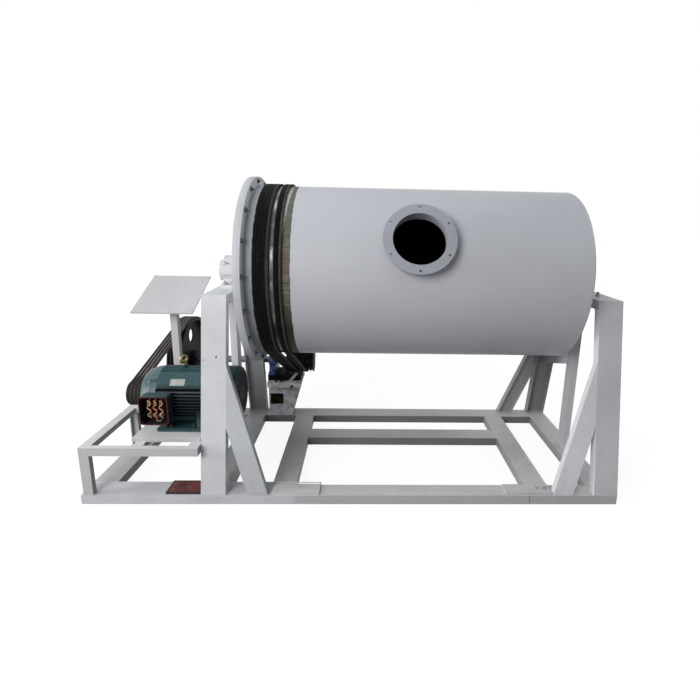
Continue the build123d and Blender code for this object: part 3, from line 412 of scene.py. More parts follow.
def motor_material():
    """Machine green: painted shade between the fins and along their sides, a paler dusty skin on faces
    turned up.
    """
    n = Nodes("machine_green")
    r, g, b = TEAL
    tone = n.mottled(TEAL, (r - 14, g - 16, b - 16))
    up = n.times(n.ramp(n.normal("Z"), 0.2, 0.95), n.ramp(n.noise(16.0, 6.0, 0.7), 0.35, 0.7, 0.15, 0.55))
    tone = n.mix(up, tone, rgb(r + 14, g + 17, b + 18))
    x, radius = n.axis("X"), n.round_x(MOTOR_Y, MOTOR_Z)
    frame_length = n.band(x, *MOTOR_FRAME)
    # painted shade deep between the fins
    tone = n.mix(n.times(n.ramp(radius, 0.170, 0.192, 0.85, 0.0), frame_length), tone, rgb(7, 11, 14))
    # painted shade along the finned sides at mid height
    beside = n.math("ABSOLUTE", n.math("SUBTRACT", n.axis("Z"), MOTOR_Z))
    painted_side_shading = n.times(n.ramp(beside, 0.105, 0.125, 1.0, 0.0), frame_length,
                    n.ramp(n.noise(9.0, 5.0, 0.7), 0.3, 0.7, 0.75, 0.97))
    tone = n.mix(painted_side_shading, tone, rgb(12, 19, 24))
    # the end bell: pale dust on its lower part, painted shade on and beside the lugs
    pale = n.times(n.band(x, *MOTOR_BELL, 0.0015), n.ramp(n.noise(13.0, 7.0, 0.75), 0.36, 0.60, 0.0, 0.78),
                   n.ramp(n.axis("Z"), 0.665, 0.735, 1.0, 0.25))
    tone = n.mix(pale, tone, rgb(148, 160, 162))
    lug = n.times(n.ramp(radius, 0.1972, 0.1982), n.band(x, -1.400, MOTOR_FRAME[0]), 0.8)
    tone = n.mix(lug, tone, rgb(22, 44, 46))
    return n.coat(tone, 20.0, (0.34, 0.50), (360.0, 2.0, 0.14, 0.0006), 0.2)


def primer_material():
    """Loose plate: mottled dark red primer, its edges darkened with painted shade."""
    n = Nodes("red_brown_primer")
    tone = n.mix(n.ramp(n.noise(15.0, 8.0, 0.78), 0.40, 0.60), rgb(124, 62, 59), rgb(54, 27, 27))
    tone = n.mix(n.ramp(n.noise(70.0, 4.0, 0.6), 0.56, 0.66, 0.0, 0.6), tone, rgb(150, 112, 106))
    # painted shade: everything outside the plate's middle darkened
    middle = n.times(n.band(n.axis("X"), -1.222, -0.990, 0.006),
                     n.band(n.axis("Y"), AY - 0.680, AY - 0.562, 0.006))
    tone = n.mix(middle, rgb(34, 28, 28), tone)
    return n.coat(tone, 30.0, (0.48, 0.68), (180.0, 5.0, 0.3, 0.0008))


def terminal_material():
    """Green casing, red-primed rim at the open front, and an inside darkened with painted shade."""
    n = Nodes("terminal_box_paint")
    y = n.axis("Y")
    green = n.mottled(TEAL, (52, 68, 70))
    rim = n.ramp(y, AY - 0.6010, AY - 0.6030)
    inner = n.times(n.band(n.axis("X"), BOX_X - BOX_HALF_WIDTH, BOX_X + BOX_HALF_WIDTH, 0.0004),
                    n.band(n.axis("Z"), BOX_Z - BOX_HALF_HEIGHT, BOX_Z + BOX_HALF_HEIGHT, 0.0004),
                    n.ramp(y, AY - 0.5275, AY - 0.5290))
    primed = n.mix(n.ramp(n.noise(60.0, 5.0), 0.4, 0.6), rgb(86, 42, 43), rgb(52, 23, 24))
    # painted shade: the primed inside made near black
    shaded_primer_inside = n.mix(n.ramp(n.noise(30.0, 6.0, 0.7), 0.4, 0.7), rgb(44, 9, 8), rgb(16, 4, 4))
    tone = n.mix(inner, n.mix(rim, green, primed), shaded_primer_inside)
    # painted shade on the casing's faces turned right
    painted_side_shading = n.times(n.ramp(n.normal("X"), 0.5, 0.9), n.ramp(y, AY - 0.600, AY - 0.596), 0.85)
    n.put("Base Color", n.mix(painted_side_shading, tone, rgb(10, 20, 22)))
    n.put("Specular IOR Level", 0.15)
    n.put("Roughness", 0.5)
    n.bump(n.noise(300.0, 2.0), 0.15, 0.0006)
    return n.mat


def pedestal_material():
    """Drive pedestals: pale enamel, blotched with grease, brown and dark with painted shade inside the box.
    """
    n = Nodes("grey_enamel_pedestals")
    tone = n.mix(n.ramp(n.noise(9.0, 4.0), 0.35, 0.65), rgb(198, 200, 204), rgb(216, 218, 220))
    grease = n.ramp(n.noise(15.0, 8.0, 0.72, distortion=0.6), 0.46, 0.64, 0.0, 0.75)
    tone = n.mix(grease, tone, rgb(108, 106, 98))
    tone = n.mix(n.ramp(n.noise(48.0, 3.0), 0.66, 0.70, 0.0, 0.5), tone, rgb(66, 62, 54))
    # painted shade: the inside of the box, behind its window, made brown and dark
    hollow = n.times(n.band(n.axis("X"), -0.7925, -0.6650, 0.0004),
                     n.band(n.axis("Z"), 0.1000, 0.3850, 0.0004),
                     n.band(n.axis("Y"), AY + 0.5642, AY + 0.6860, 0.0004))
    painted_inside_shade = n.mix(n.ramp(n.noise(16.0, 6.0, 0.7), 0.4, 0.65), rgb(104, 90, 62), rgb(52, 46, 36))
    return n.coat(n.mix(hollow, tone, painted_inside_shade), 22.0, (0.45, 0.65), (260.0, 4.0, 0.2, 0.0006), 0.2)


def cowl_material():
    """Fan cowl: green drum, its slotted end face dark with painted shade."""
    n = Nodes("fan_cowl_paint")
    # painted shade: the slotted end face made near black, standing for its shaded openings
    end = n.times(n.ramp(n.normal("X"), 0.80, 0.95), n.ramp(n.axis("X"), -0.8075, -0.8065))
    tone = n.mix(end, n.mottled(TEAL, (60, 78, 80)), rgb(8, 11, 17))
    return n.coat(tone, 20.0, (0.45, 0.6), (360.0, 2.0, 0.12, 0.0006), 0.08)


M = {
    # painted shade darkens the stands behind the drum's axis, and painted light lightens faces turned left
    # and, on the flange, faces turned right
    "left": paint("grey_enamel_left", (199, 201, 206), dirt=0.10, rear=0.5),
    "left_brace": paint("grey_enamel_left_brace", (182, 185, 190), low_dirt=0.45, dirt=0.12),
    "right": paint("grey_enamel_right", (202, 203, 207), low_dirt=0.10, dirt=0.10, rear=0.75,
                   painted_side_shading=(236, 238, 242)),
    # painted light: the right braces in a lighter copy of the stand enamel
    "lit_right_brace": paint("grey_enamel_right_braces_lit", (221, 223, 227), low_dirt=0.25, dirt=0.12,
                         rear=0.55, painted_side_shading=(230, 232, 236)),
    "posts": paint("grey_enamel_posts", (206, 207, 211), dirt=0.10),
    "base": base_material("grey_enamel_base", 194, 0.55, 0.12),
    "head": paint("grey_enamel_head", (196, 198, 203), dirt=0.15),
    "flange": paint("grey_enamel_flange", (192, 195, 200), dirt=0.25, rough=0.6, gloss=0.05,
                    face=(232, 236, 240)),
    "shell": shell_material(),
    "neck": paint("grey_enamel_manhole", (158, 161, 170), dirt=0.12),
    "drive": pedestal_material(),
    # painted shade: the beams under the drum in a darker copy of the base enamel
    "inner": base_material("grey_enamel_inner_shaded", 168, 0.65, 0.65, right=28),
    "shelf": paint("grey_enamel_shelf", (189, 188, 191), dirt=0.2),
    "loose": primer_material(),
    "teal": motor_material(),
    "cowl": cowl_material(),
    "box": terminal_material(),
    "blue": paint("bearing_blue", (52, 66, 134), dust=(70, 74, 96), dirt=0.4, rough=0.36),
    "black": paint("black_enamel", (15, 15, 16), dust=(38, 36, 33), dirt=0.35, rough=0.65, gloss=0.04),
    "iron": metal("cast_iron_black", (27, 25, 26), rough=0.62, metallic=0.10, rust=0.15, gloss=0.15),
    "steel": metal("bare_steel", (168, 166, 160), rough=0.32, grain=(1.0, 12.0, 12.0), rust=0.15),
    "belt": rubber("drum_belt_rubber", (9, 10, 11), (30, 31, 31), -0.6340, 0.40,
                   worn_ribs=((-0.5580, -0.5340, (58, 59, 59)), (-0.4720, -0.4560, (80, 77, 68)))),
    "long_belt": rubber("motor_belt_rubber", (34, 30, 30), (70, 64, 60), -1.5708, 0.65,
                        line=(150, 145, 143), grimy=(MOTOR_Y + 0.02, MOTOR_Y + 0.12)),
    "bolt": metal("zinc_bolt", (104, 106, 110), rough=0.42, metallic=0.7, rust=0.3),
    "dark_bolt": metal("black_bolt", (52, 52, 55), rough=0.5, metallic=0.5, rust=0.2),
    "brass": metal("brass", (150, 138, 104), rough=0.34, dark=0.40),
    "painted_bolt": metal("painted_bolt", (186, 189, 194), rough=0.45, metallic=0.1, dark=0.45),
    "ring_nut": metal("ring_nut", (96, 100, 104), rough=0.45, metallic=0.3, dark=0.35),
    "shaft": metal("turned_shaft", (112, 114, 116), rough=0.30, dark=0.45, grain=(1.0, 12.0, 12.0)),
    "copper": metal("copper_link", (212, 140, 116), rough=0.40, dark=0.45, metallic=0.6),
    "pale_copper": metal("pale_copper_link", (208, 166, 132), rough=0.42, dark=0.45, metallic=0.5),
    "lead": paint("varnished_lead", (150, 132, 116), dust=(120, 84, 60), dirt=0.6, rough=0.5),
    "plate": metal("blank_rating_plate", (150, 155, 151), rough=0.5, metallic=0.6, dark=0.72),
    "bakelite": paint("terminal_board", (34, 9, 7), dust=(74, 26, 14), dirt=0.6, rough=0.5, gloss=0.1),
}

# The CAD nodes that wear each material
DRESS = {
    "left": "left_stand_legs front_beam_left left_bearing bearing_beams",
    "left_brace": "left_stand_brace",
    "lit_right_brace": "right_stand_braces",
    "right": "right_stand_legs right_leg_tie right_bearing",
    "posts": "centre_posts",
    "base": "front_beam_main splice_plates subframe_cross_rails subframe_long_rails subframe_legs "
            "motor_plate",
    "inner": "cross_beams middle_beam rear_beam",
    "head": "left_head right_head",
    "flange": "drum_flange",
    "shell": "drum_shell",
    "neck": "manhole_neck",
    "drive": "drive_pedestals",
    "shelf": "shelf_plate shelf_post",
    "loose": "loose_plate",
    "teal": "motor_frame motor_end_bell",
    "cowl": "motor_fan_cowl",
    "box": "terminal_box",
    "blue": "shaft_bearings",
    "black": "bearing_risers",
    "iron": "large_sheave drive_pulley motor_sheave",
    "shaft": "countershaft motor_shaft",
    "steel": "left_trunnion right_trunnion",
    "belt": "drum_belts",
    "long_belt": "motor_belts",
}
for key, names in DRESS.items():
    for name in names.split():
        mesh = NODES[name].data
        mesh.materials.clear()
        mesh.materials.append(M[key])


# Mesh pieces
def angles(count):
    """That many angles evenly round a full turn."""
    return [2 * math.pi * k / count for k in range(count)]


def frame_at(place, axis, turn=0.0):
    """Matrix whose z is the axis, at a place."""
    z = Vector(axis).normalized()
    x = Vector((1, 0, 0)) if abs(z.x) < 0.9 else Vector((0, 1, 0))
    y = z.cross(x).normalized()
    x = y.cross(z)
    m = Matrix((x, y, z)).transposed().to_4x4()
    return Matrix.Translation(place) @ m @ Matrix.Rotation(turn, 4, "Z")


class Shape:
    """Collects vertices and faces of one piece."""

    def __init__(self):
        self.verts, self.faces = [], []

    def rings(self, rings, matrix=Matrix.Identity(4), closed=False, caps=True):
        """Skin between rings of equal count."""
        start, n, count = len(self.verts), len(rings[0]), len(rings)
        self.verts += [matrix @ Vector(v) for ring in rings for v in ring]
        for i in range(count if closed else count - 1):
            a, b = start + i * n, start + ((i + 1) % count) * n
            self.faces += [[a + j, a + (j + 1) % n, b + (j + 1) % n, b + j] for j in range(n)]
        if caps and not closed:
            self.faces.append([start + j for j in range(n)][::-1])
            self.faces.append([start + (count - 1) * n + j for j in range(n)])

    def lathe(self, profile, matrix, sides):
        """Turned form: profile of (radius, height)."""
        self.rings([[(r * math.cos(a), r * math.sin(a), h) for a in angles(sides)]
                    for r, h in profile], matrix)

    def prism(self, outline, low, high, matrix, bevel):
        """Extruded outline with its top and bottom edges broken."""
        cx = sum(p[0] for p in outline) / len(outline)
        cy = sum(p[1] for p in outline) / len(outline)

        def ring(h, inset):
            out = []
            for x, y in outline:
                d = math.hypot(x - cx, y - cy) or 1.0
                out.append((x - (x - cx) / d * inset, y - (y - cy) / d * inset, h))
            return out

        self.rings([ring(low, bevel), ring(low + bevel, 0), ring(high - bevel, 0), ring(high, bevel)],
                   matrix)

    def hexagon(self, flats, low, high, matrix):
        """Hexagon with chamfered corners."""
        corner, top = flats / math.sqrt(3), flats / 2 * 0.97

        def six(a):
            return flats / 2 / math.cos(a % (math.pi / 3) - math.pi / 6)

        def ring(radius_of, h):
            return [(radius_of(a) * math.cos(a), radius_of(a) * math.sin(a), h) for a in angles(24)]

        drop = (corner - top) * 0.55
        self.rings([ring(six, low), ring(six, high - drop), ring(lambda a: min(six(a), top), high)], matrix)

    def bolt(self, place, axis, size, thread, turn):
        """Hex head on a washer, or a nut with the end of its thread."""
        m = frame_at(place, axis, turn)
        washer = ((1.05, 0.0), (1.05, 0.10), (1.0, 0.15), (0.3, 0.15))
        self.lathe([(r * size, h * size) for r, h in washer], m, 20)
        self.hexagon(1.55 * size, 0.15 * size, 0.80 * size, m)
        if thread:
            profile = [(0.5 * size, 0.7 * size)]
            count = max(2, int(thread / (0.12 * size)))
            for i in range(count):
                h = 0.80 * size + thread * i / count
                profile += [(0.50 * size, h), (0.45 * size, h + thread / count / 2)]
            profile += [(0.47 * size, 0.80 * size + thread), (0.38 * size, 0.86 * size + thread)]
            self.lathe(profile, m, 14)

    def tube(self, points, radius, sides, ripple=0.0, pitch=0.009):
        """Round rod along points; ripple makes a weld bead of it."""
        pts = [Vector(p) for p in points]
        if ripple:
            fine = []
            for a, b in zip(pts, pts[1:]):
                steps = max(1, int((b - a).length / (pitch / 2)))
                fine += [a.lerp(b, k / steps) for k in range(steps)]
            pts = fine + [pts[-1]]
        rings = []
        up = Vector((0.31, 0.52, 0.79)).normalized()
        for i, p in enumerate(pts):
            d = (pts[min(i + 1, len(pts) - 1)] - pts[max(i - 1, 0)]).normalized()
            x = d.cross(up).normalized()
            y = x.cross(d)
            r = radius * (1.0 + (ripple if i % 2 else -ripple))
            rings.append([p + x * (r * math.cos(a)) + y * (r * math.sin(a)) for a in angles(sides)])
        self.rings(rings)

    def piece(self, name, material, body, slot=None, smooth=35.0):
        """Make the object, and let it ride on a body."""
        mesh = bpy.data.meshes.new(name)
        mesh.from_pydata([tuple(v) for v in self.verts], [], self.faces)
        mesh.materials.append(material)
        mesh.validate()
        obj = bpy.data.objects.new(name, mesh)
        bpy.context.scene.collection.objects.link(obj)
        mesh.shade_smooth()
        mesh.set_sharp_from_angle(angle=math.radians(smooth))
        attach(obj, body)


def bolts(name, places, size, material, body, axis=None, thread=0.0, slot="bare_steel"):
    """Several like bolts, or nuts if they have a thread: places are points, or (point, axis) pairs."""
    s = Shape()
    for item in places:
        place, out = item if axis is None else (item, axis)
        s.bolt(place, out, size, thread, random.uniform(0, 1.0))
    s.piece(name, material, body, slot)


def weld(name, runs, radius, material, body):
    """Weld beads along several runs of points."""
    s = Shape()
    for run in runs:
        s.tube(run, radius, 6, 0.13)
    s.piece(name, material, body, "grey_paint", 60.0)


def lean(z, out=0.0):
    """Y of the front legs' outer face at a height, and that far inside it."""
    return BASE_FRONT + (z - BASE_TOP) * LEG_LEAN + out


def mirrored(runs):
    """The same runs behind the drum."""
    return runs + [[(x, 2 * AY - y, z) for x, y, z in run] for run in runs]


def loop(x0, x1, y0, y1, z):
    """Level rectangle."""
    return [(x0, y0, z), (x1, y0, z), (x1, y1, z), (x0, y1, z), (x0, y0, z)]


def circle(centre, axis, radius, count=72):
    """Closed circle about an axis."""
    m = frame_at(centre, axis)
    return [m @ Vector((radius * math.cos(a), radius * math.sin(a), 0))
            for a in angles(count) + [2 * math.pi]]


def ring_points(x, radius, count, start, y=AY, z=AZ):
    """Points evenly round a line along X."""
    return [(x, y - radius * math.sin(start + a), z + radius * math.cos(start + a)) for a in angles(count)]


def upright(x, y, z):
    """Matrix of a face turned forwards: its x to the right, its y up."""
    return Matrix(((1, 0, 0, x), (0, 0, -1, y), (0, 1, 0, z), (0, 0, 0, 1)))


def rounded(w, h, r):
    """Outline of a rectangle with rounded corners."""
    out = []
    for cx, cy, a0 in ((w / 2 - r, h / 2 - r, 0), (-w / 2 + r, h / 2 - r, 90),
                       (-w / 2 + r, -h / 2 + r, 180), (w / 2 - r, -h / 2 + r, 270)):
        for k in range(6):
            a = math.radians(a0 + 90 * k / 5)
            out.append((cx + r * math.cos(a), cy + r * math.sin(a)))
    return out


# Bolts round the drum's end flange: nuts on the flange, round heads on the end plate
bolts("flange_bolts", ring_points(-0.695, *FLANGE_RING), 0.016, M["ring_nut"], "drum", RIGHTWARDS,
      thread=0.006)
s = Shape()
for place in ring_points(-0.740, *FLANGE_RING):
    s.lathe([(0.0155, 0.0), (0.0155, 0.0012), (0.0140, 0.0032), (0.0090, 0.0050), (0.0, 0.0056)],
            frame_at(place, LEFTWARDS), 22)
s.piece("flange_bolt_heads", M["head"], "drum", "grey_paint")
bolts("hub_bolts", [(p, LEFTWARDS) for p in ring_points(-0.770, *HUB_RING)]
      + [(p, RIGHTWARDS) for p in ring_points(1.525, *HUB_RING)], 0.020, M["bolt"], "drum")


# Bearings: cap bolts, foot bolts and grease nipples
def housing_bolts(x0, x1, count, y, z, cap, lug, half_foot, seat):
    """Places on the cap's lugs and on the sloped feet, count of them between two X on each side."""
    xs = [x0 + (x1 - x0) * (k + 0.5) / count for k in range(count)]
    tops = [((x, y + side * (cap + 0.010), z + lug), UPWARDS) for x in xs for side in (-1, 1)]
    feet = [((x, y + side * (half_foot - 0.024), seat + 0.0258), (0, side * 0.092, 1.0))
            for x in xs for side in (-1, 1)]
    return tops, feet


# the main bearings and the pillow blocks: middle, cap's half width, lugs' height, feet
MAIN = {"y": AY, "z": AZ, "cap": 0.108, "lug": 0.056, "half_foot": 0.170, "seat": BEAM_TOP}
BLOCK = {"y": SHAFT_Y, "z": SHAFT_Z, "cap": 0.084, "lug": 0.014, "half_foot": 0.120, "seat": 0.458}
BLOCK_WIDTH = 0.056
tops, feet = housing_bolts(-0.962, -0.858, 2, **MAIN)
bolts("left_bearing_cap_bolts", tops, 0.016, M["painted_bolt"], "stand", thread=0.006)
bolts("left_bearing_foot_bolts", feet, 0.018, M["painted_bolt"], "stand", thread=0.010)
tops, feet = housing_bolts(1.623, 1.659, 1, **MAIN)
bolts("right_bearing_bolts", tops + feet, 0.018, M["dark_bolt"], "stand", thread=0.010,
      slot="dark_iron")
bolts("beam_stud", [(1.690, AY - 0.265, BEAM_TOP)], 0.018, M["painted_bolt"], "stand", UPWARDS,
      thread=0.018)
bolts("splice_bolts", [(x, AY - 0.642, 0.077) for x in (1.2414, 1.3037)], 0.014, M["painted_bolt"],
      "stand", UPWARDS)
blue = []
for x0 in (-1.412, -0.796):
    tops, feet = housing_bolts(x0, x0 + BLOCK_WIDTH, 1, **BLOCK)
    blue += tops + feet
bolts("shaft_bearing_bolts", blue, 0.016, M["bolt"], "stand", thread=0.008)
s = Shape()
MAIN_TOP, BLOCK_TOP = 1.5675, 0.6515
for x, y, top in ((-0.910, AY, MAIN_TOP), (1.641, AY, MAIN_TOP), (-1.384, SHAFT_Y, BLOCK_TOP),
                  (-0.768, SHAFT_Y, BLOCK_TOP)):
    s.lathe([(0.0, 0.0), (0.007, 0.0), (0.007, 0.005), (0.004, 0.007), (0.0035, 0.012),
             (0.0052, 0.014), (0.0048, 0.018), (0.0, 0.020)], frame_at((x, y, top), UPWARDS), 12)
s.piece("grease_nipples", M["brass"], "stand")

# Ring of screws on the left bearing's cover
bolts("left_cover_screws", ring_points(-0.994, 0.064, 6, 0.4), 0.008, M["painted_bolt"], "stand",
      LEFTWARDS)

# Motor: foot bolts, end bell bolts, cowl screws, lifting eye and blank rating plate
bolts("motor_foot_bolts", [(x, MOTOR_Y + side * 0.170, 0.447) for x in (-1.246, -1.094)
                           for side in (-1, 1)], 0.018, M["dark_bolt"], "stand", UPWARDS, thread=0.010)
bolts("end_bell_bolts", ring_points(-1.376, 0.183, 4, math.pi / 4, MOTOR_Y, MOTOR_Z), 0.012,
      M["bolt"], "stand", LEFTWARDS)
COWL_RADIUS = 0.1968
bolts("cowl_screws", [((-0.940, MOTOR_Y - COWL_RADIUS * math.sin(a), MOTOR_Z + COWL_RADIUS * math.cos(a)),
                       (0, -math.sin(a), math.cos(a))) for a in (0.8, 2.35, 3.93, 5.5)], 0.008,
      M["bolt"], "stand")

s = Shape()
eye = Matrix.Translation((-1.195, MOTOR_Y, 0.8355)) @ Matrix.Rotation(math.radians(45), 4, "Z")
s.lathe([(0.0, 0.0), (0.020, 0.0), (0.021, 0.003), (0.020, 0.007), (0.012, 0.010), (0.009, 0.016),
         (0.010, 0.022), (0.0, 0.024)], eye, 28)
EYE_RADIUS, EYE_HEIGHT = 0.0215, 0.042
rings = []
for a in angles(40):
    r = 0.0108 + 0.0014 * math.cos(a + math.pi)
    rings.append([((EYE_RADIUS + r * math.cos(b)) * math.sin(a), r * math.sin(b),
                   EYE_HEIGHT + (EYE_RADIUS + r * math.cos(b)) * math.cos(a)) for b in angles(14)])
s.rings(rings, eye, closed=True)
s.piece("lifting_eye", M["brass"], "stand", "bare_steel")

# the rating plate's pad looks up and forwards at 45 degrees
slope = math.sqrt(0.5)
PAD_REACH = 0.1393
pad = Matrix(((1, 0, 0, -1.1915), (0, slope, -slope, MOTOR_Y - PAD_REACH - 0.009 * slope),
              (0, slope, slope, MOTOR_Z + PAD_REACH - 0.009 * slope), (0, 0, 0, 1)))
s = Shape()
s.prism(rounded(0.098, 0.050, 0.005), -0.0004, 0.0014, pad, 0.0004)
s.rings([[(x, y, height) for x, y in rounded(*size)] for size, height in (
    ((0.092, 0.044, 0.004), 0.0012), ((0.0895, 0.0415, 0.003), 0.0022), ((0.087, 0.039, 0.003), 0.0012))],
    pad, caps=False)
for x in (-0.043, 0.043):
    for y in (-0.019, 0.019):
        s.lathe([(0.0026, 0.0012), (0.0024, 0.0024), (0.0012, 0.0031), (0.0, 0.0032)],
                pad @ Matrix.Translation((x, y, 0)), 12)
s.piece("blank_rating_plate", M["plate"], "stand", "bare_steel")

# Terminal box: board, studs with zig-zag links, leads and corner bosses for the missing lid
s = Shape()
board = upright(BOX_X, BOX_BACK, BOX_Z)
s.prism(rounded(0.134, 0.142, 0.010), 0.0, 0.016, board, 0.002)
COLUMNS = (-0.0385, 0.0, 0.0385)
for x in COLUMNS:
    s.prism([(x - 0.013, -0.062), (x + 0.013, -0.062), (x + 0.013, 0.062), (x - 0.013, 0.062)],
            0.014, 0.024, board, 0.0015)
s.piece("terminal_board", M["bakelite"], "stand", "dark_iron")
s, links, leads, ends = Shape(), Shape(), Shape(), Shape()
for k, x in enumerate(BOX_X + c for c in COLUMNS):
    for z in (0.652, 0.568):
        stud = frame_at((x, BOX_BACK - 0.024, z), FORWARDS)
        s.lathe([(0.012, 0.0), (0.012, 0.002), (0.0042, 0.002), (0.0042, 0.030), (0.0032, 0.032)], stud, 16)
        s.hexagon(0.016, 0.006, 0.013, stud)
        s.hexagon(0.016, 0.017, 0.024, stud)
    y = BOX_BACK - 0.040
    zigzag = [(x + dx, y - dy, BOX_Z + dz) for dx, dy, dz in (
        (-0.008, 0.000, 0.060), (0.010, 0.004, 0.048), (0.012, 0.006, 0.038), (-0.010, 0.004, 0.020),
        (-0.011, 0.006, 0.010), (0.011, 0.006, -0.006), (0.012, 0.006, -0.016), (-0.010, 0.004, -0.034),
        (-0.011, 0.004, -0.044), (0.008, 0.000, -0.058))]
    (links if k == 1 else leads).tube(zigzag, 0.0040, 10)
    ends.tube([(x, y + 0.008, 0.656), (x + 0.005, y - 0.002, 0.672), (x + 0.007, y + 0.006, 0.686),
               (x + 0.004, y + 0.028, 0.690), (x + 0.002, BOX_BACK + 0.001, 0.690)], 0.0032, 8)
ends.tube([(-1.268, BOX_BACK - 0.036, 0.566), (-1.258, BOX_BACK - 0.048, 0.550),
           (-1.272, BOX_BACK - 0.054, 0.536), (-1.298, BOX_BACK - 0.048, 0.532),
           (-1.304, BOX_BACK - 0.030, 0.546)], 0.0032, 8)
s.piece("terminal_studs", M["brass"], "stand", "bare_steel")
links.piece("terminal_links", M["copper"], "stand", "bare_steel")
leads.piece("terminal_side_links", M["pale_copper"], "stand", "bare_steel")
ends.piece("winding_leads", M["lead"], "stand", "dark_iron")
s = Shape()
for x in (-0.0765, 0.0765):
    for z in (-0.0805, 0.0805):
        boss = frame_at((BOX_X + x, BOX_BACK + 0.0005, BOX_Z + z), FORWARDS)
        s.lathe([(0.0085, 0.0), (0.0085, 0.068), (0.0075, 0.0695), (0.0035, 0.0695), (0.0032, 0.060),
                 (0.0, 0.060)], boss, 16)
s.piece("terminal_box_bosses", M["box"], "stand", "red_primer")

# Taper bushes in the large sheave and the drive pulley, each with three screws
BORE = 0.030
s = Shape()
for x, axis in ((-1.580, LEFTWARDS), (-0.3994, RIGHTWARDS)):
    m = frame_at((x, SHAFT_Y, SHAFT_Z), axis)
    s.lathe([(BORE + 0.0006, 0.0), (BORE + 0.0006, 0.004), (BORE + 0.002, 0.005), (BORE + 0.026, 0.005),
             (BORE + 0.028, 0.003), (BORE + 0.028, 0.0)], m, 40)
    for a in angles(3):
        place = ((BORE + 0.015) * math.cos(a + 0.5), (BORE + 0.015) * math.sin(a + 0.5), 0)
        s.hexagon(0.013, 0.004, 0.0075, m @ Matrix.Translation(place))
s.piece("taper_bushes", M["dark_bolt"], "countershaft_set", "dark_iron")

# Right drive pedestal: a flat bar leaning on the riser's front, and bolts in front of it
s = Shape()
s.prism([(-0.014, 0.0), (0.014, 0.0), (0.078, 0.0765), (0.050, 0.0765)], 0.0, 0.006,
        upright(-0.609, AY + 0.5395, 0.4005), 0.0008)
s.piece("riser_stiffener", M["shelf"], "stand", "grey_paint")
bolts("pedestal_bolts", [((-0.731, AY + 0.516, 0.400), UPWARDS), ((-0.684, AY + 0.520, 0.400), UPWARDS),
                         ((-0.589, AY + 0.495, 0.364), FORWARDS)], 0.014, M["dark_bolt"], "stand",
      slot="dark_iron")


# Weld beads
LEFT_LEG, RIGHT_LEG = (-1.003, -0.843), (1.615, 1.775)
CROSS_HALF_WIDTH, SPLICE_HALF_LENGTH = 0.078, 0.157
SHELL_OUTSIDE, NECK_LENGTH = 0.601, 0.640


def leg_runs(x0, x1, sides):
    """Beads of a front leg between two X: by its foot and under the beam at each side, and on top."""
    runs = []
    for x in sides:
        runs.append([(x, AY - 0.700, BEAD_Z), (x, AY - 0.641, BEAD_Z)])
        runs.append([(x, lean(BEAM_UNDER, 0.010), BEAM_UNDER), (x, lean(BEAM_UNDER, 0.064), BEAM_UNDER)])
    top = lean(BEAM_TOP, 0.0087)
    return runs + [[(x0 + 0.003, top, 1.3495), (x1 - 0.003, top, 1.3495)]]


def brace_feet(*xs):
    """Beads beside a brace's foot."""
    return [[(x, AY - 0.700, BEAD_Z), (x, AY - 0.655, BEAD_Z)] for x in xs]


def post_ends(x0, x1):
    """Beads round both ends of a centre post."""
    return [loop(x0, x1, AY - 0.050, AY + 0.050, z) for z in (BEAD_Z, 1.284)]


def up_leg(x, *heights):
    """A bead up a front leg beside its brace."""
    return [(x, lean(z, 0.003), z) for z in heights]


weld("left_stand_welds", mirrored(leg_runs(*LEFT_LEG, LEFT_LEG))
     + [up_leg(-0.842, 0.505, 0.600, 0.700, 0.800, 0.903)] + brace_feet(-0.567, -0.700)
     + post_ends(-0.947, -0.899), 0.0038, M["left"], "stand")
weld("right_stand_welds", mirrored(leg_runs(*RIGHT_LEG, RIGHT_LEG[:1])
                                   + [up_leg(1.614, 0.534, 0.640, 0.740, 0.850, 0.953)]
                                   + brace_feet(1.337, 1.470)) + post_ends(1.671, 1.719)
     + [[(x, AY + 0.051, 0.752), (x, AY + 0.051, 0.858)] for x in (1.689, 1.701)],
     0.0038, M["right"], "stand")

# where the cross beams meet the front and rear beams, and round the splice plates
low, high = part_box("rear_beam")
runs = []
for x in (-1.695, -0.923, -0.480, 1.261, 1.695):
    front_beam = AY - (0.545 if x < -0.389 else 0.579)
    for y in (front_beam, low.y):
        runs.append([(x - CROSS_HALF_WIDTH, y, 0.064), (x + CROSS_HALF_WIDTH, y, 0.064)])
for x, back in ((-0.389, 0.553), (1.178, 0.587)):
    runs.append(loop(x - SPLICE_HALF_LENGTH, x + SPLICE_HALF_LENGTH, AY - 0.697, AY - back, BEAD_Z))
weld("base_welds", runs, 0.0036, M["base"], "stand")

runs = [loop(-1.755, -1.692, AY - 0.7045, AY - 0.665, BEAD_Z)[1:3],
        loop(-1.755, -1.692, AY - 0.052, AY - 0.012, BEAD_Z)]
for x in (-1.755, -1.692, -1.429, -1.366, -1.076, -1.013):
    for y in (AY - 0.6645, AY - 0.0755):
        runs.append([(x, y, 0.3995), (x, y, 0.362)])
runs.append(loop(-1.373, -1.323, AY - 0.0685, AY - 0.0185, 0.401))
weld("subframe_welds", runs, 0.0034, M["base"], "stand")

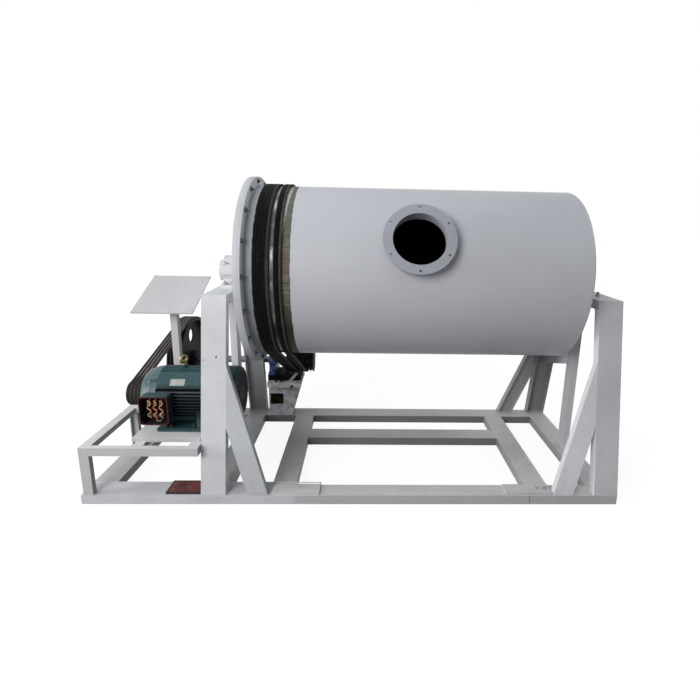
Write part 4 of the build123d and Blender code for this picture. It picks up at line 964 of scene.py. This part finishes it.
# round the manhole's neck where it meets the drum, and behind its flange
out_y, out_z = MANHOLE_OUT[1:]
neck = []
for a in angles(96) + [2 * math.pi]:
    u, v = NECK_RADIUS * math.cos(a), NECK_RADIUS * math.sin(a)
    w = math.sqrt(SHELL_OUTSIDE ** 2 - v * v)
    neck.append((MANHOLE_X + u, AY + w * out_y + v * out_z, AZ + w * out_z - v * out_y))
behind = Vector((MANHOLE_X, AY, AZ)) + Vector(MANHOLE_OUT) * NECK_LENGTH
weld("manhole_welds", [neck, circle(behind, MANHOLE_OUT, NECK_RADIUS)], 0.0050, M["neck"], "drum")
weld("drum_welds", [circle((-0.693, AY, AZ), RIGHTWARDS, 0.602, 180),
                    circle((-0.741, AY, AZ), RIGHTWARDS, 0.151, 60),
                    circle((1.496, AY, AZ), RIGHTWARDS, 0.151, 60)], 0.0050, M["head"], "drum")
weld("pedestal_welds", [loop(x0, x1, SHAFT_Y - 0.110, SHAFT_Y + 0.110, 0.4005)
                        for x0, x1 in ((-1.420, -1.348), (-0.804, -0.515))], 0.0036, M["drive"], "stand")


# Stage: floor, world, lamps and camera
def combine(tree, how, a, b):
    """One value made of two."""
    node = tree.nodes.new("ShaderNodeMath")
    node.operation = how
    tree.links.new(a, node.inputs[0])
    tree.links.new(b, node.inputs[1])
    return node.outputs[0]


def shown_to(tree):
    """1 for the rays that show the white backdrop: camera, glossy and transmitted ones."""
    path = tree.nodes.new("ShaderNodeLightPath")
    total = path.outputs["Is Camera Ray"]
    for kind in ("Is Glossy Ray", "Is Transmission Ray"):
        total = combine(tree, "MAXIMUM", total, path.outputs[kind])
    return total


def floor(name, half, near):
    """Dull ground that glows white, less so near the object, for the rays that show it."""
    mesh = bpy.data.meshes.new(name)
    corners = [(-half, -half, -0.001), (half, -half, -0.001), (half, half, -0.001), (-half, half, -0.001)]
    mesh.from_pydata(corners, [], [[0, 1, 2, 3]])
    obj = bpy.data.objects.new(name, mesh)
    bpy.context.scene.collection.objects.link(obj)
    mat = bpy.data.materials.new(name)
    mat.use_nodes = True
    tree = mat.node_tree
    tree.nodes.clear()
    place = tree.nodes.new("ShaderNodeTexCoord")
    far = tree.nodes.new("ShaderNodeVectorMath")
    far.operation = "LENGTH"
    tree.links.new(place.outputs["Object"], far.inputs[0])
    fade = tree.nodes.new("ShaderNodeMapRange")
    fade.interpolation_type = "SMOOTHSTEP"
    for key, value in (("From Min", 2.0), ("From Max", 5.5), ("To Min", near), ("To Max", 1.0)):
        fade.inputs[key].default_value = value
    tree.links.new(far.outputs["Value"], fade.inputs["Value"])
    glow = tree.nodes.new("ShaderNodeEmission")
    strength = combine(tree, "MULTIPLY", shown_to(tree), fade.outputs["Result"])
    tree.links.new(strength, glow.inputs["Strength"])
    dull = tree.nodes.new("ShaderNodeBsdfDiffuse")
    dull.inputs["Color"].default_value = (0.17, 0.17, 0.17, 1.0)
    both = tree.nodes.new("ShaderNodeAddShader")
    tree.links.new(glow.outputs[0], both.inputs[0])
    tree.links.new(dull.outputs[0], both.inputs[1])
    out = tree.nodes.new("ShaderNodeOutputMaterial")
    tree.links.new(both.outputs[0], out.inputs["Surface"])
    mesh.materials.append(mat)
    obj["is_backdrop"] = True


floor("floor", 40, 0.90)

world = bpy.data.worlds.new("studio")
bpy.context.scene.world = world
world.use_nodes = True
tree = world.node_tree
tree.nodes.clear()
out = tree.nodes.new("ShaderNodeOutputWorld")
seen = shown_to(tree)
white = tree.nodes.new("ShaderNodeBackground")
white.inputs["Color"].default_value = (1, 1, 1, 1)
soft = tree.nodes.new("ShaderNodeBackground")
soft.inputs["Color"].default_value = (0.93, 0.96, 1.0, 1)
soft.inputs["Strength"].default_value = 0.32
mix = tree.nodes.new("ShaderNodeMixShader")
tree.links.new(seen, mix.inputs[0])
tree.links.new(soft.outputs[0], mix.inputs[1])
tree.links.new(white.outputs[0], mix.inputs[2])
tree.links.new(mix.outputs[0], out.inputs["Surface"])


def area(name, place, aim, size, power, colour):
    """Round lamp at a place, turned to another."""
    data = bpy.data.lights.new(name, "AREA")
    data.shape, data.size, data.energy, data.color = "DISK", size, power, colour
    obj = bpy.data.objects.new(name, data)
    bpy.context.scene.collection.objects.link(obj)
    obj.location = place
    obj.rotation_mode = "QUATERNION"
    obj.rotation_quaternion = (Vector(aim) - Vector(place)).to_track_quat("-Z", "Y")


area("key_left", (-3.2, -5.2, 3.35), (-0.2, -0.3, 1.1), 3.4, 242, (1.0, 0.985, 0.96))
area("low_left", (-6.5, -1.6, 2.0), (1.0, -0.5, 0.8), 2.2, 205, (1.0, 1.0, 1.0))
area("overhead", (-0.9, 0.2, 5.4), (-0.6, 0.0, 0.0), 4.5, 40, (0.95, 0.97, 1.0))
area("fill_right", (6.6, 0.6, 3.2), (0.6, -0.2, 0.9), 3.0, 64, (0.97, 0.98, 1.0))

# Camera at the photograph's viewpoint, with its angles in radians
VIEWPOINT = (0.0485, -3.6011, 1.8835)
YAW, PITCH, ROLL = 0.034, 0.232, 0.021
forward = Vector((math.sin(YAW) * math.cos(PITCH), math.cos(YAW) * math.cos(PITCH), -math.sin(PITCH)))
side = Vector((math.cos(YAW), -math.sin(YAW), 0))
up = side.cross(forward)
right = side * math.cos(ROLL) + up * math.sin(ROLL)
top = up * math.cos(ROLL) - side * math.sin(ROLL)
camera = bpy.data.cameras.new("camera")
camera.sensor_width, camera.lens = 36.0, 23.856
camera.shift_x, camera.shift_y = -0.0414, -0.0378
camera.clip_end = 200
view = bpy.data.objects.new("camera", camera)
bpy.context.scene.collection.objects.link(view)
view.matrix_world = Matrix.Translation(VIEWPOINT) @ Matrix((right, top, -forward)).transposed().to_4x4()
bpy.context.scene.camera = view
bpy.context.scene.view_settings.view_transform = "Standard"

low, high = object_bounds()
